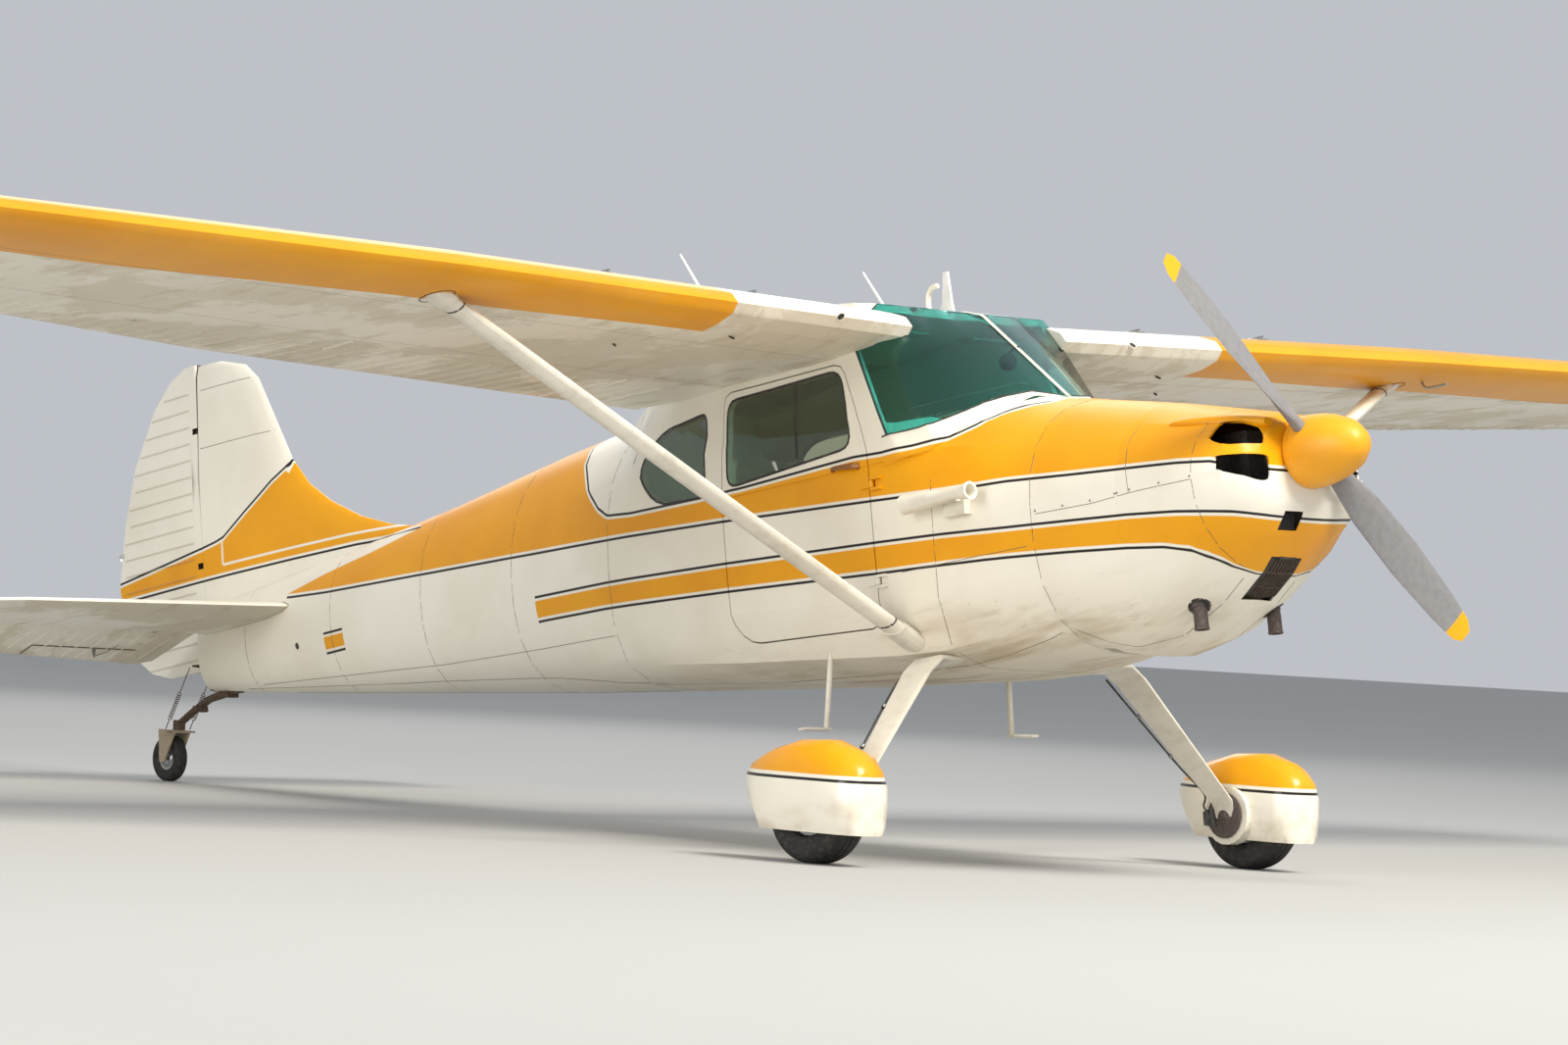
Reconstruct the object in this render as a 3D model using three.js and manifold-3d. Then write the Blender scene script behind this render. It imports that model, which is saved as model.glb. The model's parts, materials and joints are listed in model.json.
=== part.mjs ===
// A four-seat, high-wing, tail-wheel light aircraft, parked on its gear.
// The airframe is drawn level, in inches, as such aircraft are: x forward of the firewall,
// y to port, z above the thrust line. It is then scaled to millimetres, pitched nose-up by
// its parked angle, and set on the floor with the middle of its plan at the origin.
import * as THREE from 'three';
import { mergeVertices } from 'three/addons/utils/BufferGeometryUtils.js';
import Module from 'manifold-3d';

const wasm = await Module();
wasm.setup();

// Driving dimensions, inches and degrees
const mmPerInch = 25.4;
const parkedPitch = 10;
const thrustLineHeight = 55.51;
const seam = 0.012;
const hingeGap = 0.24;

const wallThickness = 1.2;
const cowlThickness = 0.3;
const glassThickness = 0.25;

const wing = {
  halfSpan: 216, rootY: 16, breakY: 100, tipY: 207, rootChord: 64, tipChord: 46,
  leadingX: -24.9, tipSweep: 4.5, rootZ: 28.3, rootZAtY: 22, dihedral: 1.73,
  rootIncidence: 1.5, tipIncidence: -1, camber: 0.02, camberAt: 0.4, thickness: 0.12,
};
const flap = { innerY: 24, outerY: 99, chordShare: 0.235 };
const aileron = { innerY: 100.5, outerY: 203, chordShare: 0.19 };
const strut = {
  lower: [-25.8, 19.6, -18.8], upper: [-34.1, 100, 29.3], chord: 4.2, thickness: 1.7,
};
const tailplane = {
  halfSpan: 64, rootY: 3, z: 10.6, leadingRootX: -194, leadingTipX: -202,
  hingeX: -221.3, rootRadius: 1.25, tipRadius: 0.9,
};
const elevator = { innerY: 6, outerY: 62.5, rootChord: 15, tipChord: 11, droop: 18 };
const finHinge = { x: -224.6, topZ: 57.3, radius: 1.3 };
const mainWheel = { groundX: -12.8, y: 44.8, radius: 8.1, width: 6.2, rimRadius: 4.1 };
const tailWheel = { groundX: -233, radius: 4.1, width: 2.4, rimRadius: 2.1, trail: 2.3 };
const propeller = { x: 39.4, radius: 38, bladeAngle: 47.9, spinnerRadius: 5.2, tipX: 48.4 };
const door = { frontX: -30.4, rearX: -64.8, bottomZ: -16.4, topZ: 24.4, gap: 0.22, hingeY: 21.3 };

// Colours of the finished pieces
const white = { color: 0xe9e4d6, roughness: 0.35, metalness: 0 };
const yellow = { color: 0xf0a010, roughness: 0.3, metalness: 0 };
const glass = { color: 0x2f8f86, roughness: 0.1, metalness: 0 };
const greyGlass = { color: 0x8c958c, roughness: 0.1, metalness: 0 };
const black = { color: 0x141414, roughness: 0.8, metalness: 0 };
const steel = { color: 0x8a8a88, roughness: 0.4, metalness: 1 };
const rusty = { color: 0x5d4636, roughness: 0.8, metalness: 0.5 };
const cloth = { color: 0x4a4a46, roughness: 0.95, metalness: 0 };

const airframe = new THREE.Group();
const parked = new THREE.Group();
const aircraft = new THREE.Group();
const radians = THREE.MathUtils.degToRad;

// Solids: closed geometries in, manifold solids for joins and cuts, and geometries out again

function toSolid(geometry) {
  const bare = new THREE.BufferGeometry();
  bare.setAttribute('position', geometry.getAttribute('position').clone());
  if (geometry.index) bare.setIndex(geometry.index.clone());
  const merged = mergeVertices(bare, 1e-4);
  const kept = [];
  const index = merged.index.array;
  for (let i = 0; i < index.length; i += 3) {
    const [a, b, c] = [index[i], index[i + 1], index[i + 2]];
    if (a !== b && b !== c && c !== a) kept.push(a, b, c);
  }
  const made = (triangles) => new wasm.Manifold(new wasm.Mesh({
    numProp: 3,
    vertProperties: new Float32Array(merged.getAttribute('position').array),
    triVerts: new Uint32Array(triangles),
  }));
  const solid = made(kept);
  return solid.volume() < 0 ? made(kept.reverse()) : solid;
}

function toGeometry(solid) {
  const mesh = solid.getMesh();
  const geometry = new THREE.BufferGeometry();
  geometry.setAttribute('position', new THREE.BufferAttribute(mesh.vertProperties, 3));
  geometry.setIndex(new THREE.BufferAttribute(mesh.triVerts, 1));
  return geometry;
}

function join(...solids) {
  return solids.reduce((all, next) => all.add(next));
}

function cut(solid, ...tools) {
  return tools.reduce((rest, tool) => rest.subtract(tool), solid);
}

// A closed skin over rings of equally many [x, y, z] points; its two ends are capped flat.
// With mirrorSides, its facets to starboard are split as the mirror image of those to port.
function loft(rings, mirrorSides = false) {
  const count = rings[0].length;
  const points = rings.flat(2);
  const index = [];
  for (let r = 0; r + 1 < rings.length; r += 1) {
    for (let k = 0; k < count; k += 1) {
      const [a, b] = [r * count + k, r * count + ((k + 1) % count)];
      if (mirrorSides && points[3 * a + 1] + points[3 * b + 1] < 0) {
        index.push(a, b, a + count, b, b + count, a + count);
      } else {
        index.push(a, b, b + count, a, b + count, a + count);
      }
    }
  }
  const cap = (ring, start, forward) => {
    const [u, v] = flatAxes(ring);
    const outline = ring.map((p) => new THREE.Vector2(p[u], p[v]));
    const ringArea = THREE.ShapeUtils.area(outline);
    for (const [a, b, c] of THREE.ShapeUtils.triangulateShape(outline, [])) {
      const sameWay = THREE.ShapeUtils.area([outline[a], outline[b], outline[c]]) * ringArea > 0;
      if (sameWay === forward) index.push(start + a, start + b, start + c);
      else index.push(start + a, start + c, start + b);
    }
  };
  cap(rings[0], 0, false);
  cap(rings[rings.length - 1], (rings.length - 1) * count, true);
  const geometry = new THREE.BufferGeometry();
  geometry.setAttribute('position', new THREE.Float32BufferAttribute(points, 3));
  geometry.setIndex(index);
  return toSolid(geometry);
}

// The two coordinates in which a ring has the larger extents
function flatAxes(ring) {
  const size = [0, 1, 2].map((i) => {
    const values = ring.map((p) => p[i]);
    return Math.max(...values) - Math.min(...values);
  });
  const least = size.indexOf(Math.min(...size));
  return [0, 1, 2].filter((i) => i !== least);
}

// Shapes placed directly in airframe inches

function box(low, high) {
  const size = low.map((value, i) => high[i] - value);
  const geometry = new THREE.BoxGeometry(...size);
  geometry.translate(...low.map((value, i) => value + size[i] / 2));
  return toSolid(geometry);
}

// A round bar from one point to another, which may taper
function rod(from, to, radius, endRadius = radius, sides = 12) {
  const [a, b] = [new THREE.Vector3(...from), new THREE.Vector3(...to)];
  const along = b.clone().sub(a);
  const geometry = new THREE.CylinderGeometry(endRadius, radius, along.length(), sides);
  const turn = new THREE.Quaternion().setFromUnitVectors(
    new THREE.Vector3(0, 1, 0), along.clone().normalize());
  geometry.applyQuaternion(turn);
  geometry.translate(...a.add(b).multiplyScalar(0.5).toArray());
  return toSolid(geometry);
}

// A solid of revolution about a line through the centre along y, from [radius, y] points
function turned(profile, centre, segments, turn = 0) {
  const points = profile.map(([radius, y]) => new THREE.Vector2(radius, y));
  const geometry = new THREE.LatheGeometry(points, segments);
  geometry.rotateY(radians(turn));
  geometry.translate(...centre);
  return toSolid(geometry);
}

// A side-view outline of [x, z] points, as a prism between two y planes
function sidePrism(outline, fromY, toY) {
  const shape = new THREE.Shape(outline.map(([x, z]) => new THREE.Vector2(x, z)));
  const geometry = new THREE.ExtrudeGeometry(shape, { depth: toY - fromY, bevelEnabled: false });
  geometry.rotateX(Math.PI / 2);
  geometry.translate(0, toY, 0);
  return toSolid(geometry);
}

// A front-view outline of [y, z] points, as a prism between two x planes
function frontPrism(outline, fromX, toX) {
  const shape = new THREE.Shape(outline.map(([y, z]) => new THREE.Vector2(y, z)));
  const geometry = new THREE.ExtrudeGeometry(shape, { depth: toX - fromX, bevelEnabled: false });
  geometry.rotateX(Math.PI / 2);
  geometry.rotateZ(Math.PI / 2);
  geometry.translate(fromX, 0, 0);
  return toSolid(geometry);
}

// A polygon of [u, v] points moved outwards by a margin
function grown(corners, margin) {
  const points = corners.map(([u, v]) => new THREE.Vector2(u, v));
  const side = Math.sign(THREE.ShapeUtils.area(points));
  const count = points.length;
  return points.map((point, i) => {
    const edgeIn = point.clone().sub(points[(i + count - 1) % count]).normalize();
    const edgeOut = points[(i + 1) % count].clone().sub(point).normalize();
    const normalIn = new THREE.Vector2(edgeIn.y, -edgeIn.x).multiplyScalar(side);
    const normalOut = new THREE.Vector2(edgeOut.y, -edgeOut.x).multiplyScalar(side);
    const bisector = normalIn.clone().add(normalOut);
    return point.clone().addScaledVector(bisector, margin / (1 + normalIn.dot(normalOut)));
  }).map((point) => point.toArray());
}

// A polygon with rounded corners, moved outwards by a margin
function rounded(corners, radius, margin = 0, steps = 2) {
  const points = grown(corners, margin).map(([u, v]) => new THREE.Vector2(u, v));
  const count = points.length;
  return points.flatMap((point, i) => {
    const before = points[(i + count - 1) % count];
    const after = points[(i + 1) % count];
    const reach = Math.min((Array.isArray(radius) ? radius[i] : radius) + margin,
      before.distanceTo(point) / 2.1, after.distanceTo(point) / 2.1);
    const start = point.clone().add(before.clone().sub(point).setLength(reach));
    const end = point.clone().add(after.clone().sub(point).setLength(reach));
    return new THREE.QuadraticBezierCurve(start, point, end).getPoints(steps)
      .map((at) => [at.x, at.y]);
  });
}

function mirrored(solid) {
  return solid.mirror([0, 1, 0]);
}

// Adds a finished mesh to a group, from inches to millimetres
function part(name, solid, finish, parent = airframe) {
  const geometry = toGeometry(solid);
  geometry.scale(mmPerInch, mmPerInch, mmPerInch);
  geometry.computeVertexNormals();
  const mesh = new THREE.Mesh(geometry, new THREE.MeshStandardMaterial(finish));
  mesh.name = name;
  parent.add(mesh);
  return mesh;
}

// A group placed at a joint's point with its local x axis along the joint's axis
function pivot(name, point, axis, meshes, parent = airframe) {
  const group = new THREE.Group();
  group.name = name;
  group.position.set(...point).multiplyScalar(mmPerInch);
  group.quaternion.setFromUnitVectors(
    new THREE.Vector3(1, 0, 0), new THREE.Vector3(...axis).normalize());
  parent.add(group);
  airframe.updateMatrixWorld(true);
  for (const mesh of meshes) group.attach(mesh);
  return group;
}

// Exhaust pipes, from under the engine through the lower cowl
const exhaustRadius = 1.05;
const exhaustLine = [[17.6, -8.6], [18.2, -12], [20.2, -16], [21.3, -20], [21.5, -23.4]];
const exhaustPipe = new THREE.CatmullRomCurve3(exhaustLine.map(([x, z]) => new THREE.Vector3(x, 7.6, z)));

function circleShape(radius, sides) {
  const shape = new THREE.Shape();
  for (let k = 0; k < sides; k += 1) {
    const angle = (2 * Math.PI * k) / sides;
    shape[k === 0 ? 'moveTo' : 'lineTo'](radius * Math.cos(angle), radius * Math.sin(angle));
  }
  return shape;
}

function tube(curve, radius, steps, sides) {
  return toSolid(new THREE.ExtrudeGeometry(circleShape(radius, sides),
    { steps, extrudePath: curve, bevelEnabled: false }));
}

function buildExhaust() {
  const flange = box([16.2, 6.2, -8.9], [19, 9, -8 - seam]);
  const bore = rod([21.52, 7.6, -26], [21.42, 7.6, -21], 0.82, 0.82, 10);
  return join(cut(tube(exhaustPipe, exhaustRadius, 6, 10), bore), flange);
}

const exhaust = buildExhaust();
const exhaustHole = tube(exhaustPipe, exhaustRadius + 0.2, 6, 10);

// Fuselage: one table of stations, from which every skin is lofted

const bodyStations = [
  { x: 37.1, half: 10.2, top: 4.6, bottom: -7.6, wide: -2, topPower: 2.1, bottomPower: 2 },
  { x: 36.2, half: 12.7, top: 5.6, bottom: -9.4, wide: -2.2, topPower: 2.1, bottomPower: 2 },
  { x: 34, half: 14.8, top: 6.3, bottom: -12.3, wide: -2.6, topPower: 2.2, bottomPower: 2 },
  { x: 30, half: 16, top: 7.3, bottom: -16.4, wide: -3, topPower: 2.2, bottomPower: 2 },
  { x: 24, half: 16.8, top: 8.7, bottom: -20.6, wide: -3.4, topPower: 2.3, bottomPower: 2.1 },
  { x: 16, half: 17.5, top: 10.6, bottom: -24, wide: -3.6, topPower: 2.3, bottomPower: 2.3 },
  { x: 8, half: 18.4, top: 12.3, bottom: -25.2, wide: -3.4, topPower: 2.3, bottomPower: 2.5 },
  { x: 0, half: 19.3, top: 13.9, bottom: -23.8, wide: -3, topPower: 2.3, bottomPower: 2.7 },
  { x: -9, half: 20.1, top: 15.9, bottom: -23.7, wide: -2, topPower: 2.3, bottomPower: 4 },
  { x: -20, half: 20.8, top: 17, bottom: -23.8, wide: 0, topPower: 2.8, bottomPower: 6 },
  { x: -30, half: 21.1, top: 19, bottom: -23.4, wide: 2, topPower: 3.4, bottomPower: 6 },
  { x: -65, half: 20.6, top: 21, bottom: -20.1, wide: 4, topPower: 3.4, bottomPower: 5 },
  { x: -90, half: 18.6, top: 25.4, bottom: -17.3, wide: 4, topPower: 2.5, bottomPower: 4 },
  { x: -104, half: 16.6, top: 26.7, bottom: -15.7, wide: 4, topPower: 2.2, bottomPower: 3.3 },
  { x: -120, half: 14.2, top: 25.3, bottom: -13.9, wide: 4.4, topPower: 2.1, bottomPower: 2.5 },
  { x: -150, half: 10.4, top: 21.6, bottom: -10, wide: 5.4, topPower: 2.1, bottomPower: 2.3 },
  { x: -190, half: 6.6, top: 17.6, bottom: -4.9, wide: 6.4, topPower: 2.1, bottomPower: 2.2 },
  { x: -226, half: 3.2, top: 14.4, bottom: 0, wide: 7, topPower: 2.1, bottomPower: 2.1 },
];

// A value of the stations at any x
function atStation(x, key) {
  const i = Math.max(1, bodyStations.findIndex((s) => s.x <= x));
  const [fore, aft] = [bodyStations[i - 1], bodyStations[i]];
  return THREE.MathUtils.mapLinear(x, fore.x, aft.x, fore[key], aft[key]);
}

function bodyRing(x, outset, sides) {
  const half = atStation(x, 'half') + outset;
  const wide = atStation(x, 'wide');
  const up = atStation(x, 'top') + outset - wide;
  const down = wide - atStation(x, 'bottom') + outset;
  const ring = [];
  for (let k = 0; k < sides; k += 1) {
    const angle = (2 * Math.PI * k) / sides;
    const [c, s] = [Math.cos(angle), Math.sin(angle)];
    const power = atStation(x, s >= 0 ? 'topPower' : 'bottomPower');
    const reach = (Math.abs(c) ** power + Math.abs(s) ** power) ** (-1 / power);
    ring.push([x, half * c * reach, wide + (s >= 0 ? up : down) * s * reach]);
  }
  return ring;
}

const bodySides = 24;

function body(fromX, toX, outset) {
  const between = bodyStations.map((s) => s.x).filter((x) => x < fromX && x > toX);
  return loft([fromX, ...between, toX].map((x) => bodyRing(x, outset, bodySides)), true);
}

// Cabin top: plan outlines of the windshield, sides and rear at a few levels

const cabinLevels = [
  { z: 8, nose: -5.5, bendX: -11.5, bendY: 14.6,
    postX: -24.5, postY: 20.9, doorY: 20.9, rearX: -90, rearY: 18.2, endX: -108, endY: 12 },
  { z: 15.8, nose: -9, bendX: -17, bendY: 15,
    postX: -28, postY: 20.7, doorY: 20.3, rearX: -90, rearY: 16.6, endX: -106, endY: 9 },
  { z: 26, nose: -20.4, bendX: -25.2, bendY: 16.4,
    postX: -33.5, postY: 20.1, doorY: 19.2, rearX: -88, rearY: 13.4, endX: -102, endY: 5 },
  { z: 36, nose: -31.6, bendX: -33.4, bendY: 17.6,
    postX: -38.5, postY: 19.6, doorY: 18.4, rearX: -86, rearY: 10, endX: -98, endY: 3 },
];
const roofLine = [
  [-24, 29.2], [-24.6, 30.1], [-26.4, 31.3], [-30, 32.4], [-36, 33.3], [-45, 33.7], [-56, 33.2],
  [-70, 31.6], [-84, 29.3], [-96, 27.9], [-112, 25.6],
];

function cabinPlan(level, outset) {
  const half = [
    [level.nose, 0], [level.nose - 1.2, 6], [(level.nose + level.bendX) / 2 - 1.4, 11.4],
    [level.bendX, level.bendY],
    [(level.bendX + level.postX) / 2 + 0.6, (level.bendY + level.postY) / 2 + 1.3],
    [level.postX, level.postY], [-62, level.doorY], [level.rearX, level.rearY], [level.endX, level.endY],
  ];
  const port = half.slice(1).map(([x, y]) => [x, y]);
  const starboard = port.slice().reverse().map(([x, y]) => [x, -y]);
  const plan = [half[0], ...port, ...starboard];
  return grown(plan, outset).map(([x, y]) => [x, y, level.z]);
}

function cabinTop(outset) {
  const levels = cabinLevels.map((level) => cabinPlan(level, outset));
  const crown = roofLine.map(([x, z]) => [x, z + outset]);
  const below = [[roofLine.at(-1)[0] - 3, 4], [2, 4], [2, roofLine[0][1] + outset]];
  return loft(levels, true).intersect(sidePrism([...crown, ...below], -30, 30));
}

function slice(solid, fromX, toX, lowZ = -40, highZ = 70) {
  return solid.intersect(box([toX, -40, lowZ], [fromX, 40, highZ]));
}

const frontX = 37.1;
const noseSeamX = 16;
const cowlSeamX = 0.9;
const firewallRearX = -0.8;
const bootRearX = -26;
const bootTopZ = 20;
const bulkheadX = -91;
const cabinRearX = -95;
const tailX = -224;

const outerSkin = join(body(frontX, tailX, 0), cabinTop(0));
const clearSkin = join(body(frontX, tailX, seam), cabinTop(seam));
const cabinSpace = join(
  body(firewallRearX, bulkheadX, -wallThickness),
  slice(cabinTop(-wallThickness), -9, bulkheadX, 14),
  frontPrism(rounded([[-17, 0], [17, 0], [15.4, 21], [-15.4, 21]], 4), bulkheadX, -19),
);
const glassSkin = join(body(-5, -112, -glassThickness), cabinTop(-glassThickness));
const lowerBody = body(8, bulkheadX, 0);

// Window and door outlines in side view
const windshieldOutline = [
  [-33.6, 26.2], [-31.6, 29], [-30.4, 34], [6, 34], [6, 8], [-19, 8], [-26.9, 11],
];
const doorOutline = [
  [-30.6, door.bottomZ], [-61.6, -14.7], [-64.6, -11.6], [door.rearX, 9],
  [door.rearX + 0.2, door.topZ], [-36.4, door.topZ], [-31.2, 10.5],
];
const doorWindow = [[-36.9, 23.2], [-63.4, 22.8], [-63.2, 9.6], [-34.9, 11.5]];
const rearWindow = [[-70, 22.3], [-83.4, 21.8], [-88.6, 16.4], [-82.2, 9.9], [-69.2, 9.4]];
const windowCorners = [2.4, 2.4, 2.4, 2.4];
const rearCorners = [1.6, 7, 6, 7, 1.6];

function windowPrism(outline, corners, margin) {
  return sidePrism(rounded(outline, corners, margin, 3), -30, 30);
}

const windshieldPrism = sidePrism(windshieldOutline, -30, 30);
const windshieldHole = cut(sidePrism(grown(windshieldOutline, seam), -30, 30), lowerBody);
const doorPrism = sidePrism(rounded(doorOutline, [3, 3, 3, 1, 2, 2, 4], -door.gap), -30, 30);
const doorHole = sidePrism(rounded(doorOutline, [3, 3, 3, 1, 2, 2, 4]), -30, 30);
const doorGlassPrism = windowPrism(doorWindow, windowCorners, -seam);
const doorGlassHole = windowPrism(doorWindow, windowCorners, 0);
const rearGlassPrism = windowPrism(rearWindow, rearCorners, -seam);
const rearGlassHole = windowPrism(rearWindow, rearCorners, 0);

const skinShell = cut(outerSkin, cabinSpace);
const glassShell = cut(outerSkin, glassSkin);
const portHalf = box([-240, 0.01, -60], [60, 60, 90]);

// Door hinges: a knuckle on the door's edge, turning on a pin between two lugs of the cabin
const doorHingeZ = [-9.6, 5];
const doorPinRadius = 0.17;
const knuckle = { radius: 0.4, half: 0.5, bore: 0.2, clear: 0.62 };

function doorHinge(z) {
  const [x, y] = [door.frontX, door.hingeY];
  const upright = (from, to, radius) => rod([x, y, z + from], [x, y, z + to], radius, radius, 10);
  const lug = (from, to) => join(
    box([x, 20.3, z + from], [x + 2, y + 0.32, z + to]), upright(from, to, 0.36));
  return {
    leafNotch: upright(-1.25, 1.25, knuckle.clear),
    shellNotch: join(upright(-0.58, 0.58, knuckle.clear),
      box([x - 2.4, 20.2, z - 0.72], [x, y + 1, z + 0.72])),
    bracket: join(lug(0.58, 1), lug(-1, -0.58), upright(-0.8, 0.8, doorPinRadius)),
    arm: cut(join(upright(-knuckle.half, knuckle.half, knuckle.radius),
      box([x - 2.4, 20.5, z - knuckle.half], [x, y + 0.1, z + knuckle.half])),
    upright(-knuckle.half - 1, knuckle.half + 1, knuckle.bore)),
  };
}

const doorHinges = doorHingeZ.map(doorHinge);

// Only the body of the given solids that holds the most material
function largest(solid) {
  return solid.decompose().reduce((a, b) => (a.volume() > b.volume() ? a : b));
}

function buildCabin() {
  const rear = join(
    slice(skinShell, bootRearX - seam, cabinRearX, -40, bootTopZ),
    slice(skinShell, 0, cabinRearX, bootTopZ, 70),
  );
  const doorWall = doorHole.subtract(box([-70, -14, -30], [-20, 14, 40]));
  const shell = cut(rear, windshieldHole, doorWall, rearGlassHole);
  const both = (key) => doorHinges.flatMap((hinge) => [hinge[key], mirrored(hinge[key])]);
  return largest(join(cut(shell, ...both('shellNotch')), ...both('bracket')));
}

function buildBootCowl() {
  const front = slice(skinShell, cowlSeamX, bootRearX, -40, bootTopZ);
  return largest(cut(front, windshieldHole));
}

// Cooling air inlets: front-view corners, and how far back each one reaches
const inlets = [
  {
    rearX: 31.2,
    corners: [[-14, 0.9], [-8.4, 0.8], [-8.4, 3.1], [-9.2, 4.3], [-10.6, 4.8], [-12.2, 4.4], [-13.6, 3.3]],
  },
  {
    rearX: 33.2,
    corners: [[-15.2, -0.6], [-7.8, -0.7], [-7.8, -4.2], [-9.6, -4.5], [-12.6, -3.7], [-15.2, -2.7]],
  },
];
// The pressed brow over each pair of inlets, an ellipsoid half sunk in the bowl
const brow = { centre: [30.6, 9.6, 4.8], radii: [8.5, 1.6, 1.1], inward: 20, droop: 6, segments: 24 };
const filter = { halfWidth: 3.1, topZ: -14.2, bottomZ: -19.4 };
const oilCoolerInlet = [[33, -4.6, -10.9], [44, -1, -8.4]];

function buildCowling() {
  const shell = cut(body(noseSeamX - seam, cowlSeamX + seam, 0),
    body(noseSeamX + 1, cowlSeamX - 1, -cowlThickness));
  return largest(cut(shell, box([-2, -7, -30], [3.4, 7, -20])));
}

function buildNoseBowl() {
  const ball = new THREE.SphereGeometry(1, brow.segments, brow.segments / 2);
  ball.scale(...brow.radii);
  ball.rotateY(radians(brow.droop));
  ball.rotateZ(-radians(brow.inward));
  ball.translate(...brow.centre);
  const bulge = toSolid(ball).intersect(box([noseSeamX, 0, 0], [frontX, 30, 30]));
  const outside = join(body(frontX, noseSeamX, 0), bulge, mirrored(bulge));
  let bowl = cut(outside, body(frontX - cowlThickness, noseSeamX - 1, -cowlThickness));
  for (const { rearX, corners } of inlets) {
    const inlet = frontPrism(rounded(corners, 0.8), rearX, 44);
    bowl = cut(bowl, inlet, mirrored(inlet));
  }
  const filterHole = box([20, -filter.halfWidth, filter.bottomZ], [44, filter.halfWidth, filter.topZ]);
  const shaftHole = rod([30, 0, 0], [44, 0, 0], 2.6, 2.6, 20);
  const holes = [filterHole, box(...oilCoolerInlet), shaftHole, exhaustHole, mirrored(exhaustHole)];
  return largest(cut(bowl, ...holes));
}

function buildWindshield() {
  const sheet = cut(cabinTop(0), cabinTop(-glassThickness));
  return largest(cut(sheet.intersect(windshieldPrism), body(4, bulkheadX, 3 * seam)));
}

part('cabin_shell', buildCabin(), white);
part('boot_cowl', buildBootCowl(), white);
part('cowling', buildCowling(), yellow);
part('nose_bowl', buildNoseBowl(), yellow);
part('windshield', buildWindshield(), glass);

// Wings: one aerofoil, lofted over a few sections along the span

const wingSections = [
  { y: wing.rootY, taper: 0, shrink: 1 },
  { y: wing.breakY, taper: 0, shrink: 1 },
  { y: wing.tipY, taper: 1, shrink: 1 },
  { y: 213, taper: 1.08, shrink: 0.82 },
  { y: wing.halfSpan, taper: 1.16, shrink: 0.3 },
];
const foilSteps = 11;

// Height above and below the chord line, as shares of the chord
function foilHeight(share, upper) {
  const half = 5 * wing.thickness * (0.2969 * Math.sqrt(share) - 0.126 * share
    - 0.3516 * share ** 2 + 0.2843 * share ** 3 - 0.098 * share ** 4);
  const { camber, camberAt } = wing;
  const line = share < camberAt
    ? (camber / camberAt ** 2) * (2 * camberAt * share - share ** 2)
    : (camber / (1 - camberAt) ** 2) * (1 - 2 * camberAt + 2 * camberAt * share - share ** 2);
  return line + (upper ? half : -half);
}

function wingFrame({ y, taper }) {
  const chord = THREE.MathUtils.lerp(wing.rootChord, wing.tipChord, taper);
  const leadingX = wing.leadingX - wing.tipSweep * taper;
  const leadingZ = wing.rootZ + (y - wing.rootZAtY) * Math.tan(radians(wing.dihedral));
  const incidence = radians(THREE.MathUtils.lerp(wing.rootIncidence, wing.tipIncidence,
    THREE.MathUtils.clamp((y - wing.rootY) / (wing.tipY - wing.rootY), 0, 1)));
  return { chord, leadingX, leadingZ, incidence };
}

// A point of the wing at a share of its chord; along is 1 on the top, -1 below, 0 between
function wingPoint(section, share, along) {
  const { chord, leadingX, leadingZ, incidence } = wingFrame(section);
  const [top, base] = [foilHeight(share, true), foilHeight(share, false)];
  const middle = (top + base) / 2;
  const height = chord * (middle + ((top - base) / 2) * along * (section.shrink ?? 1));
  const squeezed = chord * (share + (0.45 - share) * (1 - (section.shrink ?? 1)) * 0.75);
  return [
    leadingX - squeezed * Math.cos(incidence) + height * Math.sin(incidence),
    section.y,
    leadingZ - squeezed * Math.sin(incidence) + height * Math.cos(incidence),
  ];
}

function wingRing(section, outset) {
  const ring = [];
  for (let k = 0; k <= foilSteps; k += 1) {
    ring.push(wingPoint(section, (1 - Math.cos((Math.PI * k) / foilSteps)) / 2, 1));
  }
  for (let k = foilSteps; k > 0; k -= 1) {
    ring.push(wingPoint(section, (1 - Math.cos((Math.PI * k) / foilSteps)) / 2, -1));
  }
  return grown(ring.map(([x, , z]) => [x, z]), outset).map(([x, z]) => [x, section.y, z]);
}

function sectionAt(y) {
  return { y, taper: Math.max(0, (y - wing.breakY) / (wing.tipY - wing.breakY)), shrink: 1 };
}

function wingSolid(outset) {
  return loft(wingSections.map((section) => wingRing(section, outset)));
}

// The space of a hinged surface: a round nose about the hinge line, and all behind it
function hingedSpace(ends, extra, depth = 70, height = 14) {
  const rings = ends.map(({ point: [x, y, z], radius }) => {
    const nose = [];
    for (let k = 0; k <= 10; k += 1) {
      const angle = Math.PI * (k / 10 - 0.5);
      nose.push([x + (radius + extra) * Math.cos(angle), y, z + (radius + extra) * Math.sin(angle)]);
    }
    return [[x - extra, y, z - height], ...nose, [x - extra, y, z + height],
      [x - depth, y, z + height], [x - depth, y, z - height]];
  });
  return loft(rings);
}

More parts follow.
